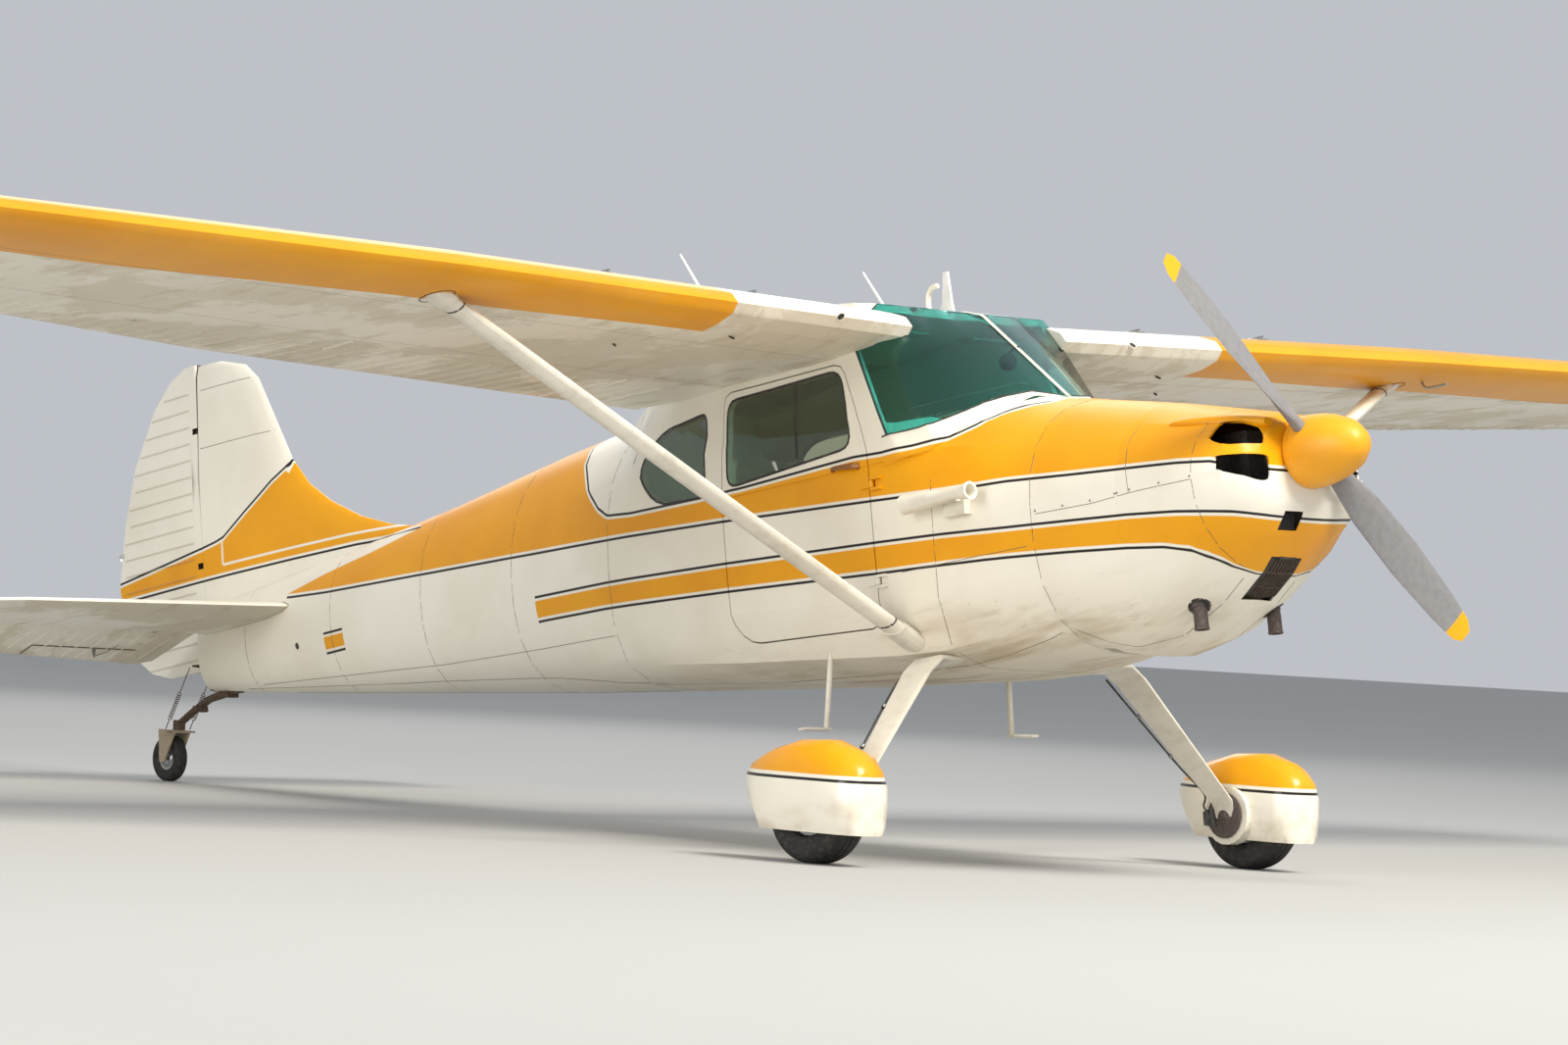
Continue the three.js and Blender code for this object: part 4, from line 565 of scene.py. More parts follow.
def makePlainPaint(name, tone, shade, roughness, dirtiness, scale, coat):
    material, tree, shader = newMaterial(name, tone, roughness, Coat_Weight=coat, Coat_Roughness=0.08)
    skin = useGroup(tree, paintSkin, Peel=0.03, Ripple=0.05)
    grime = useGroup(tree, airflowGrime, Scale=scale, Stretch=0.6, Threshold=0.48, Softness=0.2)
    base = blendColour(tree, ramp(tree, skin["Shade"], 0.3, 0.7), tone, shade)
    dirt = times(tree, larger(tree, grime["Mask"], grime["Speckle"]), dirtiness)
    base = blendColour(tree, dirt, base, paint["grime"])
    rough = timesPlus(tree, dirt, 0.4, roughness)
    setSurface(tree, shader, base, rough, skin["Height"], 0.001, 0.25)
    return material


# Two tones, roughness, share of dirt, fineness of the dirt, clear coat
spinnerPaint = makePlainPaint("spinnerPaint", paint["yellow"], paint["yellowShade"], 0.46, 0.05, 0.3, 0.05)
legPaint = makePlainPaint("gearLegPaint", paint["cream"], (0.66, 0.62, 0.52), 0.36, 0.22, 0.5, 0.3)
forkPaint = makePlainPaint("forkPaint", (0.44, 0.37, 0.26), (0.30, 0.24, 0.16), 0.55, 0.6, 1.2, 0.0)
aerialPaint = makePlainPaint("aerialPaint", (0.82, 0.82, 0.80), (0.7, 0.7, 0.68), 0.3, 0.1, 1.2, 0.3)
seamDark = makePlainPaint("seamShadow", (0.10, 0.085, 0.065), (0.16, 0.13, 0.10), 0.7, 0.4, 0.8, 0.0)
# black rubber trim, and also painted shade in the wing's air holes and the tail cone's port holes
blackTrimAndShade = makePlainPaint(
    "blackRubberAndShade", (0.018, 0.018, 0.018), (0.035, 0.033, 0.03), 0.62, 0.2, 0.9, 0.0)
# Near-black for the insides of holes and recesses: painted shade
paintedShadeInside = makePlainPaint(
    "paintedShadeInside", (0.006, 0.006, 0.006), (0.02, 0.018, 0.016), 0.85, 0.1, 0.5, 0.0)
panelGrey = makePlainPaint(
    "instrumentPanelPaint", (0.035, 0.04, 0.04), (0.06, 0.062, 0.06), 0.5, 0.1, 0.8, 0.05)
dialBlack = makePlainPaint("dialFace", (0.01, 0.01, 0.011), (0.018, 0.018, 0.018), 0.35, 0.05, 1.0, 0.3)
dialWhite = makePlainPaint("dialMarking", (0.75, 0.75, 0.70), (0.68, 0.68, 0.62), 0.5, 0.05, 1.0, 0.0)


def makeMetal(name, tone, shade, roughness, metallic, rustShare=0.0, rust=(0.12, 0.05, 0.02), scale=2.0):
    material, tree, shader = newMaterial(name, tone, roughness, metallic)
    place = useGroup(tree, airframePlace)["Place"]
    clouds = noise(tree, place, scale, 6.0, 0.65)
    fine = noise(tree, place, scale * 14, 3.0)
    base = blendColour(tree, ramp(tree, clouds, 0.35, 0.7), tone, shade)
    corroded = 0.0
    if rustShare > 0:
        corroded = ramp(tree, clouds, 0.75 - rustShare * 0.5, 0.85 - rustShare * 0.4)
        base = blendColour(tree, corroded, base, rust)
        pitted = times(tree, ramp(tree, fine, 0.45, 0.7), corroded)
        base = blendColour(tree, pitted, base, (0.05, 0.025, 0.015))
        dull = timesPlus(tree, corroded, -metallic, metallic, clamp=True)
        tree.links.new(dull, shader.inputs["Metallic"])
    rough = timesPlus(tree, fine, 0.16, roughness - 0.06)
    rough = timesPlus(tree, corroded, 0.35, rough, clamp=True)
    setSurface(tree, shader, base, rough, fine, 0.0004, 0.35)
    return material


# Two tones, roughness, metallic, share of rust and its colour
bareMetal = makeMetal("satinAluminium", (0.50, 0.50, 0.49), (0.40, 0.40, 0.39), 0.36, 0.9)
castMetal = makeMetal(
    "castEngineMetal", (0.12, 0.12, 0.12), (0.06, 0.055, 0.05), 0.6, 0.6, 0.25, (0.08, 0.05, 0.03))
rustySteel = makeMetal(
    "rustySteel", (0.13, 0.10, 0.075), (0.075, 0.05, 0.035), 0.62, 0.5, 0.6, (0.11, 0.06, 0.03))
exhaustMetal = makeMetal(
    "exhaustSteel", (0.13, 0.11, 0.10), (0.07, 0.055, 0.045), 0.6, 0.6, 0.45, (0.10, 0.06, 0.04))
steel = makeMetal("plainSteel", (0.34, 0.34, 0.33), (0.24, 0.24, 0.23), 0.42, 0.9, 0.12)
# the door handle's reddish brown stands for the yellow handle in shade: painted shade, with a little rust
handleMetal = makeMetal("shadedHandleMetal", (0.34, 0.15, 0.04), (0.24, 0.10, 0.035), 0.42, 0.4, 0.2)


blades = {
    "grey": (0.22, 0.22, 0.225),
    "tones": ((0.235, 0.23, 0.235), (0.205, 0.20, 0.205)),
    "chipped": (0.36, 0.36, 0.36),
    "tipFrom": 35.0,
}


def makePropeller():  # grey satin blades, yellow at the tips, chipped toward them
    material, tree, shader = newMaterial("propellerPaint", blades["grey"], 0.5, Specular_IOR_Level=0.35)
    place = useGroup(tree, airframePlace)["Place"]
    x, y, z = splitPlace(tree, place)
    out = calc(tree, "SQRT", calc(tree, "ADD", times(tree, y, y), times(tree, z, z)))
    scrub = noise(tree, place, 0.9, 5.0, 0.6)
    base = blendColour(tree, ramp(tree, scrub, 0.35, 0.7), *blades["tones"])
    tip = ramp(tree, out, blades["tipFrom"] - 0.1, blades["tipFrom"] + 0.1)
    base = blendColour(tree, tip, base, paint["yellow"])
    chips = times(tree, ramp(tree, noise(tree, place, 6.0, 4.0), 0.62, 0.68), ramp(tree, out, 18, 36))
    base = blendColour(tree, times(tree, chips, 0.6), base, blades["chipped"])
    rough = timesPlus(tree, scrub, 0.1, 0.45)
    setSurface(tree, shader, base, rough, noise(tree, place, 12.0, 2.0), 0.0003, 0.3)
    return material


propellerPaint = makePropeller()


rubberTones = {"plain": (0.022, 0.021, 0.02), "clean": (0.014, 0.014, 0.014), "dusty": (0.05, 0.044, 0.036)}


def makeRubber():
    material, tree, shader = newMaterial("tyreRubber", rubberTones["plain"], 0.8)
    place = useGroup(tree, airframePlace)["Place"]
    dust = noise(tree, place, 1.2, 5.0, 0.6)
    base = blendColour(tree, ramp(tree, dust, 0.4, 0.75), rubberTones["clean"], rubberTones["dusty"])
    rough = timesPlus(tree, dust, 0.2, 0.68)
    setSurface(tree, shader, base, rough, noise(tree, place, 14.0, 3.0), 0.0005, 0.4)
    return material


rubber = makeRubber()


def makeGlazing(name, tint, roughness):  # clear sheet with a tint and faint dust
    material, tree, shader = newMaterial(name, tint, roughness, IOR=1.45, Transmission_Weight=1.0)
    place = useGroup(tree, airframePlace)["Place"]
    haze = noise(tree, place, 0.35, 5.0, 0.6)
    paler = tuple(min(1.0, channel * 0.9 + 0.05) for channel in tint)
    base = blendColour(tree, ramp(tree, haze, 0.4, 0.75), tint, paler)
    rough = timesPlus(tree, ramp(tree, haze, 0.5, 0.8), 0.04, roughness)
    setSurface(tree, shader, base, rough)
    return material


windshieldTint = makeGlazing("windshieldTint", (0.26, 0.86, 0.82), 0.01)
sideTint = makeGlazing("sideWindowTint", (0.66, 0.68, 0.52), 0.015)
lampClear = makeGlazing("clearLampLens", (0.85, 0.85, 0.82), 0.05)
lampRed = makeGlazing("redLampLens", (0.75, 0.03, 0.02), 0.05)
lampGreen = makeGlazing("greenLampLens", (0.02, 0.45, 0.20), 0.05)


cloth = {
    "tan": (0.34, 0.29, 0.20),
    "fresh": (0.40, 0.34, 0.23),
    "faded": (0.26, 0.22, 0.15),
    "thread": (0.16, 0.13, 0.09),
    "weave": 55.0,
}


def makeSeatCloth():
    material, tree, shader = newMaterial("seatVinyl", cloth["tan"], 0.55, Sheen_Weight=0.15)
    place = useGroup(tree, airframePlace)["Place"]
    x, y, z = splitPlace(tree, place)
    weave = times(tree, calc(tree, "SINE", times(tree, y, cloth["weave"])),
                  calc(tree, "SINE", times(tree, calc(tree, "ADD", x, z), cloth["weave"])))
    fade = noise(tree, place, 0.25, 4.0)
    base = blendColour(tree, ramp(tree, fade, 0.35, 0.7), cloth["fresh"], cloth["faded"])
    base = blendColour(tree, times(tree, ramp(tree, weave, 0.2, 0.9), 0.35), base, cloth["thread"])
    rough = timesPlus(tree, fade, 0.2, 0.48)
    setSurface(tree, shader, base, rough, weave, 0.0005, 0.5)
    return material


seatCloth = makeSeatCloth()


def makeFloor():
    material, tree, shader = newMaterial("studioFloor", studio["floorColour"], 0.85)
    coords = tree.nodes.new("ShaderNodeTexCoord").outputs["Object"]
    shade = noise(tree, coords, 0.15, 3.0)
    base = blendColour(tree, shade, studio["floorColour"], tuple(c * 0.93 for c in studio["floorColour"]))
    setSurface(tree, shader, base)
    return material


def linkNew(name, data):
    made = bpy.data.objects.new(name, data)
    bpy.context.scene.collection.objects.link(made)
    return made


def makeStudio():
    mesh = bpy.data.meshes.new("studioFloor")
    half = studio["floorSize"] / 2
    corners = [(-half, -half, 0), (half, -half, 0), (half, half, 0), (-half, half, 0)]
    mesh.from_pydata(corners, [], [(0, 1, 2, 3)])
    floor = linkNew("studioFloor", mesh)
    mesh.materials.append(makeFloor())
    for lamp in studio["lamps"]:
        data = bpy.data.lights.new(lamp["name"], "AREA")
        data.size = lamp["size"]
        data.energy = lamp["power"]
        data.color = lamp["tint"]
        light = linkNew(lamp["name"], data)
        light.location = lamp["at"]
        light.rotation_euler = (Vector((0, 0, 1.2)) - light.location).to_track_quat("-Z", "Y").to_euler()
    sky = bpy.data.worlds.new("studioSky")
    bpy.context.scene.world = sky
    sky.use_nodes = True
    background = sky.node_tree.nodes["Background"]
    background.inputs[0].default_value = (*studio["skyColour"], 1)
    background.inputs[1].default_value = studio["skyStrength"]
    bpy.context.scene.view_settings.view_transform = studio["view"]  # plain, so the paints keep their hue


makeStudio()
print("studio, camera and paint ready")

# What each solid is finished in
finishes = {}
for material, names in (
        (cabinPaint, ("cabin_shell", "door")),
        (skinPaint, ("boot_cowl", "cowling", "nose_bowl", "tail_cone", "fin", "rudder")),
        (wingPaint, ("wing", "flap", "aileron", "stabilizer", "elevator")),
        (legPaint, ("strut", "gear_leg", "step", "roof_tube", "venturi")),
        (fairingPaint, ("wheel_fairing",)),
        (windshieldTint, ("windshield",)),
        (sideTint, ("door_window", "rear_window")),
        (rubber, ("tyre", "tail_tyre")),
        (bareMetal, ("wheel", "tail_hub")),
        (forkPaint, ("tail_fork",)),
        (rustySteel, ("tail_spring",)),
        (propellerPaint, ("propeller",)),
        (spinnerPaint, ("spinner",)),
        (castMetal, ("engine",)),
        (exhaustMetal, ("exhaust",)),
        # the air filter behind the grille is finished near-black: painted shade
        (paintedShadeInside, ("air_filter",)),
        (seatCloth, ("front_seat", "rear_seat")),
        (steel, ("front_seat_frame", "rear_seat_frame")),
        (panelGrey, ("instrument_panel",)),
        (aerialPaint, ("aerial_wing", "aerial_roof", "aerial_blade"))):
    finishes.update(dict.fromkeys(names, material))
shading = {"crispFrom": 42, "merge": 0.00002}  # degrees between two faces, and metres between two points


def makeSoftShading():  # joins a solid's facets and shades its curved skins smoothly
    tree = bpy.data.node_groups.new("softShading", "GeometryNodeTree")
    for way in ("INPUT", "OUTPUT"):
        tree.interface.new_socket(name="Geometry", in_out=way, socket_type="NodeSocketGeometry")
    start = tree.nodes.new("NodeGroupInput")
    merge = tree.nodes.new("GeometryNodeMergeByDistance")
    merge.inputs["Distance"].default_value = shading["merge"]
    clear = tree.nodes.new("GeometryNodeRemoveAttribute")
    clear.inputs["Name"].default_value = "custom_normal"
    smooth = tree.nodes.new("GeometryNodeSetShadeSmooth")
    crisp = tree.nodes.new("GeometryNodeSetShadeSmooth")
    crisp.domain = "EDGE"
    crisp.inputs["Shade Smooth"].default_value = False
    edges = tree.nodes.new("GeometryNodeInputMeshEdgeAngle")
    steep = tree.nodes.new("FunctionNodeCompare")
    steep.data_type = "FLOAT"
    steep.operation = "GREATER_THAN"
    steep.inputs[1].default_value = math.radians(shading["crispFrom"])
    end = tree.nodes.new("NodeGroupOutput")
    for before, after in ((start, merge), (merge, clear), (clear, smooth), (smooth, crisp), (crisp, end)):
        tree.links.new(before.outputs[0], after.inputs[0])
    tree.links.new(edges.outputs[0], steep.inputs[0])
    tree.links.new(steep.outputs[0], crisp.inputs["Selection"])
    return tree


softShading = makeSoftShading()


def sideless(name):
    return name.removesuffix("_left").removesuffix("_right")


def dress(node, material):
    node.data.materials.clear()
    node.data.materials.append(material)
    node.modifiers.new("softShading", "NODES").node_group = softShading
    even = node.modifiers.new("evenNormals", "WEIGHTED_NORMAL")
    even.keep_sharp = True


for name, node in nodes.items():
    dress(node, finishes[sideless(name)])
print("solids finished:", len(nodes))

# Pieces are drawn in airframe inches and laid on the solids that carry them
sides = ((-1, "right"), (1, "left"))
up, down, aft = (0, 0, 1), (0, 0, -1), (-1, 0, 0)
skins = {}


def skinOf(name):  # the surface of a solid, to lay pieces on
    if name not in skins:
        mesh = nodes[name].data
        corners = [toAir(vertex.co) for vertex in mesh.vertices]
        skins[name] = BVHTree.FromPolygons(corners, [list(face.vertices) for face in mesh.polygons])
    return skins[name]


def laid(name, point, aimed=None):  # where a point meets a skin, coming along a direction if one is given
    point = Vector(point)
    if aimed is None:
        spot, normal, _, _ = skinOf(name).find_nearest(point)
        return (spot, normal if (point - spot).dot(normal) >= 0 else -normal)
    aimed = Vector(aimed).normalized()
    spot, normal, _, _ = skinOf(name).ray_cast(point - aimed * 80, aimed)
    if spot is None:
        return None, None
    return spot, normal if normal.dot(aimed) < 0 else -normal


def evenly(points, step):  # a drawn line, divided into short equal runs
    points = [Vector(point) for point in points]
    spots = [points[0]]
    for before, after in zip(points, points[1:]):
        count = max(1, round((after - before).length / step))
        spots += [before.lerp(after, (i + 1) / count) for i in range(count)]
    return spots


def smoothed(points, steps=6):  # a smooth curve through points
    points = [Vector(point) for point in points]
    ends = [points[0] * 2 - points[1]] + points + [points[-1] * 2 - points[-2]]
    spots = []
    for a, b, c, d in zip(ends, ends[1:], ends[2:], ends[3:]):
        for i in range(steps):
            t = i / steps
            spots.append(0.5 * (2 * b + (c - a) * t + (2 * a - 5 * b + 4 * c - d) * t * t
                                + (3 * b - a - 3 * c + d) * t * t * t))
    return spots + [points[-1]]


def turns(count):  # the angles of a full circle, in equal parts
    return [2 * math.pi * k / count for k in range(count)]


# Cross-sections: shares of the width or radius, and of how far the strip or rivet stands proud
ribbonForm = ((-0.5, -0.2), (-0.36, 1.0), (0.36, 1.0), (0.5, -0.2))
studForm = ((1.0, -0.2), (0.9, 0.6), (0.5, 1.0))
weld = 0.000005  # metres; corners closer than this are one


class Sketch:  # the corners and faces of one piece
    def __init__(self):
        self.corners = []
        self.faces = []

    def add(self, corners, faces):
        start = len(self.corners)
        self.corners += [tuple(corner) for corner in corners]
        self.faces += [[start + index for index in face] for face in faces]

    def sweep(self, rings, closed=False, capped=True):  # a skin over rings of equally many points
        count = len(rings[0])
        corners = [corner for ring in rings for corner in ring]
        faces = []
        for r in range(len(rings) if closed else len(rings) - 1):
            here, there = r * count, ((r + 1) % len(rings)) * count
            for k in range(count):
                ahead = (k + 1) % count
                faces.append([here + k, here + ahead, there + ahead, there + k])
        if capped and not closed:
            faces += [list(range(count)), list(range((len(rings) - 1) * count, len(corners)))]
        self.add(corners, faces)

    def ribbon(self, skin, points, aimed, width, proud, step=1.0, closed=False):  # a low strip on a skin
        line = evenly(list(points) + ([points[0]] if closed else []), step)
        spots = [laid(skin, point, aimed) for point in (line[:-1] if closed else line)]
        spots = [(spot, normal) for spot, normal in spots if spot is not None]
        if len(spots) < 2:
            return
        rings = []
        for i, (spot, normal) in enumerate(spots):
            before = spots[i - 1][0] if i or closed else spot
            after = spots[(i + 1) % len(spots)][0] if i + 1 < len(spots) or closed else spot
            across = (after - before).normalized().cross(normal).normalized()
            rings.append([spot + across * (width * out) + normal * (proud * rise)
                          for out, rise in ribbonForm])
        self.sweep(rings, closed)

    def studs(self, skin, points, aimed, spacing, radius, proud, count=6):  # rivet heads or fasteners
        for point in evenly(points, spacing):
            spot, normal = laid(skin, point, aimed)
            if spot is None:
                continue
            u = normal.orthogonal().normalized()
            v = normal.cross(u)
            self.sweep([
                [spot + (u * math.cos(a) + v * math.sin(a)) * radius * reach + normal * proud * rise
                 for a in turns(count)]
                for reach, rise in studForm])

    def pipe(self, points, radius, count=8, closed=False):  # a round bar along a line; radius may vary
        points = [Vector(point) for point in points]
        radii = radius if isinstance(radius, (list, tuple)) else [radius] * len(points)
        rings = []
        u = None
        for i, point in enumerate(points):
            before = points[i - 1] if i or closed else point
            after = points[(i + 1) % len(points)] if i + 1 < len(points) or closed else point
            along = (after - before).normalized()
            u = along.orthogonal() if u is None else u - along * u.dot(along)
            u = u.normalized()
            v = along.cross(u)
            rings.append([point + (u * math.cos(a) + v * math.sin(a)) * radii[i]
                          for a in turns(count)])
        self.sweep(rings, closed)

    def lathe(self, centre, axis, profile, count=32):  # turned work, from (radius, along) points
        axis = Vector(axis).normalized()
        u = axis.orthogonal().normalized()
        v = axis.cross(u)
        rings = []
        for a in turns(count):
            out = u * math.cos(a) + v * math.sin(a)
            rings.append([Vector(centre) + out * radius + axis * along for radius, along in profile])
        self.sweep(rings, True)

    def slab(self, outline, depth, bevel=0.0):  # a plate of a drawn outline, eased at its edges
        outline = [Vector(point) for point in outline]
        depth = Vector(depth)
        middle = sum(outline, Vector()) / len(outline)
        ease = depth.normalized() * bevel
        pull = [point + (middle - point).normalized() * bevel for point in outline]
        self.sweep([pull, [p + ease for p in outline], [p + depth - ease for p in outline],
                    [p + depth for p in pull]])


def finish(name, sketch, material, body="airframe", crease=35, replaced=()):
    mesh = bpy.data.meshes.new(name)
    mesh.from_pydata([air(*corner) for corner in sketch.corners], [], sketch.faces)
    work = bmesh.new()
    work.from_mesh(mesh)
    bmesh.ops.remove_doubles(work, verts=work.verts, dist=weld)
    bmesh.ops.dissolve_degenerate(work, edges=work.edges, dist=weld)
    bmesh.ops.recalc_face_normals(work, faces=work.faces)
    for face in work.faces:
        face.smooth = True
    for edge in work.edges:
        edge.smooth = len(edge.link_faces) == 2 and edge.calc_face_angle(0) < math.radians(crease)
    work.to_mesh(mesh)
    work.free()
    mesh.materials.append(material)
    piece = linkNew(name, mesh)
    if body:
        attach(piece, body)
    if replaced:
        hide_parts(*replaced)
    return piece


def eased(outline, radii, steps=4):  # a flat outline with rounded corners
    corners = [Vector(corner) for corner in outline]
    spots = []
    for i, corner in enumerate(corners):
        before, after = corners[i - 1] - corner, corners[(i + 1) % len(corners)] - corner
        reach = min(radii[i], before.length / 2.1, after.length / 2.1)
        start, end = corner + before.normalized() * reach, corner + after.normalized() * reach
        for k in range(steps + 1):
            t = k / steps
            spots.append(start * (1 - t) ** 2 + corner * (2 * t * (1 - t)) + end * t * t)
    return spots


# Control surfaces: pressed ridges across the thin skins
ridges = {
    "proud": 0.15,
    "width": 0.36,
    "surfaces": [
        {"node": "flap", "from": 26, "to": 98, "gap": 3.3, "x": (-71.5, -88.2)},
        {"node": "aileron", "from": 102, "to": 202, "gap": 3.3, "x": (-73.5, -88.0)},
        {"node": "elevator", "from": 9.5, "to": 61, "gap": 3.2, "x": (-222.5, -236.0)},
    ],
    "rudder": {"levels": [5.7 + 2.95 * k for k in range(17)], "x": (-226.3, -250.4)},
}


def ridgeAcross(sketch, row, node, side):  # one surface's ridges, above and below
    front, rear = row["x"]
    for k in range(int((row["to"] - row["from"]) / row["gap"]) + 1):
        y = side * (row["from"] + row["gap"] * k)
        for aimed in (up, down):
            sketch.ribbon(node, [(front, y, 10), (rear, y, 10)], aimed, ridges["width"], ridges["proud"], 2.2)


def makeRidges():
    for row in ridges["surfaces"]:
        name = row["node"]
        whole = Sketch()
        for side, hand in sides:
            if name in nodes:  # the elevator is one solid from tip to tip
                ridgeAcross(whole, row, name, side)
            else:
                half = Sketch()
                ridgeAcross(half, row, f"{name}_{hand}", side)
                finish(f"{hand}{name.title()}Ridges", half, wingPaint, f"{hand}_{name}")
        if name in nodes:
            finish(f"{name}Ridges", whole, wingPaint, name)
    sketch = Sketch()
    front, rear = ridges["rudder"]["x"]
    for z in ridges["rudder"]["levels"]:
        for side, _ in sides:
            line = [(front, 0, z), (rear, 0, z)]
            sketch.ribbon("rudder", line, (0, -side, 0), ridges["width"], ridges["proud"], 2.0)
    finish("rudderRidges", sketch, ridgePaint, "rudder")


makeRidges()
print("control surface ridges made")

# Seams between the fuselage's sheets, and the rivets and fasteners along them
sheetLines = {
    "seam": {"width": 0.1, "proud": 0.03, "step": 1.2},
    "rivet": {"radius": 0.085, "proud": 0.03, "spacing": 1.15},
    "fastener": {"radius": 0.2, "proud": 0.05, "spacing": 4.6, "count": 10},
    "arcSteps": 90,
    "breakAt": 4,  # a longer gap, such as an opening, ends a run
    "sideRivets": (-0.4, 0.4),
    "bellyRivets": (-0.45, 0.45),
    "rings": [  # x of the seam, the solid it is on, height of the middle, where it starts and ends, rivets
        {"x": 29.5, "node": "nose_bowl", "z": -4, "arc": (-62, 242), "rivets": (-0.5,)},
        {"x": 0.35, "node": "boot_cowl", "z": -4, "arc": (-80, 260), "rivets": (-0.5, -1.3)},
        {"x": -18.6, "node": "boot_cowl", "z": -8, "arc": (150, 390), "rivets": (-0.5, 0.5)},
        {"x": -95.4, "node": "tail_cone", "z": 4, "arc": (0, 360), "rivets": (-0.5, -1.2)},
        {"x": -124.5, "node": "tail_cone", "z": 4, "arc": (0, 360), "rivets": (0.4, -0.4)},
        {"x": -152.5, "node": "tail_cone", "z": 5, "arc": (0, 360), "rivets": (0.4, -0.4)},
        {"x": -180.5, "node": "tail_cone", "z": 6, "arc": (0, 360), "rivets": (0.4, -0.4)},
        {"x": -208.0, "node": "tail_cone", "z": 5, "arc": (95, 445), "rivets": (0.4,)},
    ],
    "sideLines": [  # points (x, z) in side view, on both sides
        {"node": "cowling", "line": [(1.2, -4.2), (11.3, -4.2), (15.8, -3.9)], "fasten": 0.45},
        {"node": "nose_bowl", "line": [(16.2, -3.85), (18.5, -3.7), (29.3, -3.4)], "fasten": 0.45},
        {"node": "nose_bowl", "line": [(17.4, 6.5), (17.3, 3.7), (18.3, -3.6)], "fasten": 0.0},
        {"node": "tail_cone", "line": [(-96, -8.5), (-150, -5.6), (-206, -1.4)], "fasten": 0.0},
        {"node": "boot_cowl", "line": [(-1, -8.6), (-25.6, -8.9)], "fasten": 0.0},
    ],
    "bellyLines": [
        {"node": "cowling", "line": [(1.3, 12.6), (9, 7.0), (15.7, 5.4)]},
        {"node": "nose_bowl", "line": [(16.2, 5.35), (28.1, 5.3)]},
        {"node": "boot_cowl", "line": [(-1.2, 12.9), (-25.6, 13.4)]},
        {"node": "cabin_shell", "line": [(-26.4, 13.4), (-94.4, 10.2)]},
        {"node": "tail_cone", "line": [(-95.6, 10.2), (-150, 5.6), (-212, 1.6)]},
        {"node": "tail_cone", "line": [(-200, 0.4), (-150, 0.4), (-100, 0.4)]},
    ],
}


def ringRuns(ring, offset):  # where a ring round the fuselage meets its solid, in unbroken runs
    start, end = ring["arc"]
    runs, run = [], []
    for k in range(sheetLines["arcSteps"] + 1):
        angle = math.radians(start + (end - start) * k / sheetLines["arcSteps"])
        aimed = Vector((0, -math.cos(angle), -math.sin(angle)))
        spot, _ = laid(ring["node"], (ring["x"] + offset, 0, ring["z"]), aimed)
        if spot is None or abs(spot.y) <= 0.05:
            continue
        if run and (spot - run[-1]).length > sheetLines["breakAt"]:
            runs.append(run)
            run = []
        run.append(spot)
    return [run for run in runs + [run] if len(run) >= 3]


def makeSheetLines():
    seam, rivet, fastener = sheetLines["seam"], sheetLines["rivet"], sheetLines["fastener"]
    seams, rivets, fasteners = Sketch(), Sketch(), Sketch()
    for ring in sheetLines["rings"]:
        for offset in (0,) + ring["rivets"]:
            for run in ringRuns(ring, offset):
                if offset:
                    rivets.studs(ring["node"], run, None, **rivet)
                else:
                    seams.ribbon(ring["node"], run, None, **seam)
    for row in sheetLines["sideLines"]:
        for side, _ in sides:
            aimed = (0, -side, 0)
            seams.ribbon(row["node"], [(x, 0, z) for x, z in row["line"]], aimed, **seam)
            if row["fasten"]:
                above = [(x, 0, z + row["fasten"]) for x, z in row["line"]]
                fasteners.studs(row["node"], above, aimed, **fastener)
                continue
            for shift in sheetLines["sideRivets"]:
                beside = [(x, 0, z + shift) for x, z in row["line"]]
                rivets.studs(row["node"], beside, aimed, **rivet)
    for row in sheetLines["bellyLines"]:
        for side, _ in sides:
            seams.ribbon(row["node"], [(x, side * y, 0) for x, y in row["line"]], up, **seam)
            for shift in sheetLines["bellyRivets"]:
                beside = [(x, side * (y + shift), 0) for x, y in row["line"]]
                rivets.studs(row["node"], beside, up, **rivet)
    finish("sheetSeams", seams, seamDark)
    finish("fuselageRivets", rivets, skinPaint)
    finish("cowlFasteners", fasteners, steel)


makeSheetLines()
print("fuselage seams and rivets made")

# Wings: rib and spar rivets, and seams between the skins
wingLines = {
    "ribs": [28 + 14.2 * k for k in range(13)],
    "ribReach": (-29, -68),
    "ribRivet": {"radius": 0.085, "proud": 0.03, "spacing": 1.5},
    "spars": [(-38.5, -40.5), (-64.0, -64.5)],  # x at the root and at the tip
    "sparSpan": (22, 206),
    "sparRivet": {"radius": 0.085, "proud": 0.03, "spacing": 1.6},
    "sparSeam": {"width": 0.08, "proud": 0.01, "step": 6},
    "seamBehind": 0.5,
    "tip": {"y": 206.4, "x": (-30, -76)},
    "tipSeam": {"width": 0.12, "proud": 0.01, "step": 1.6},
}


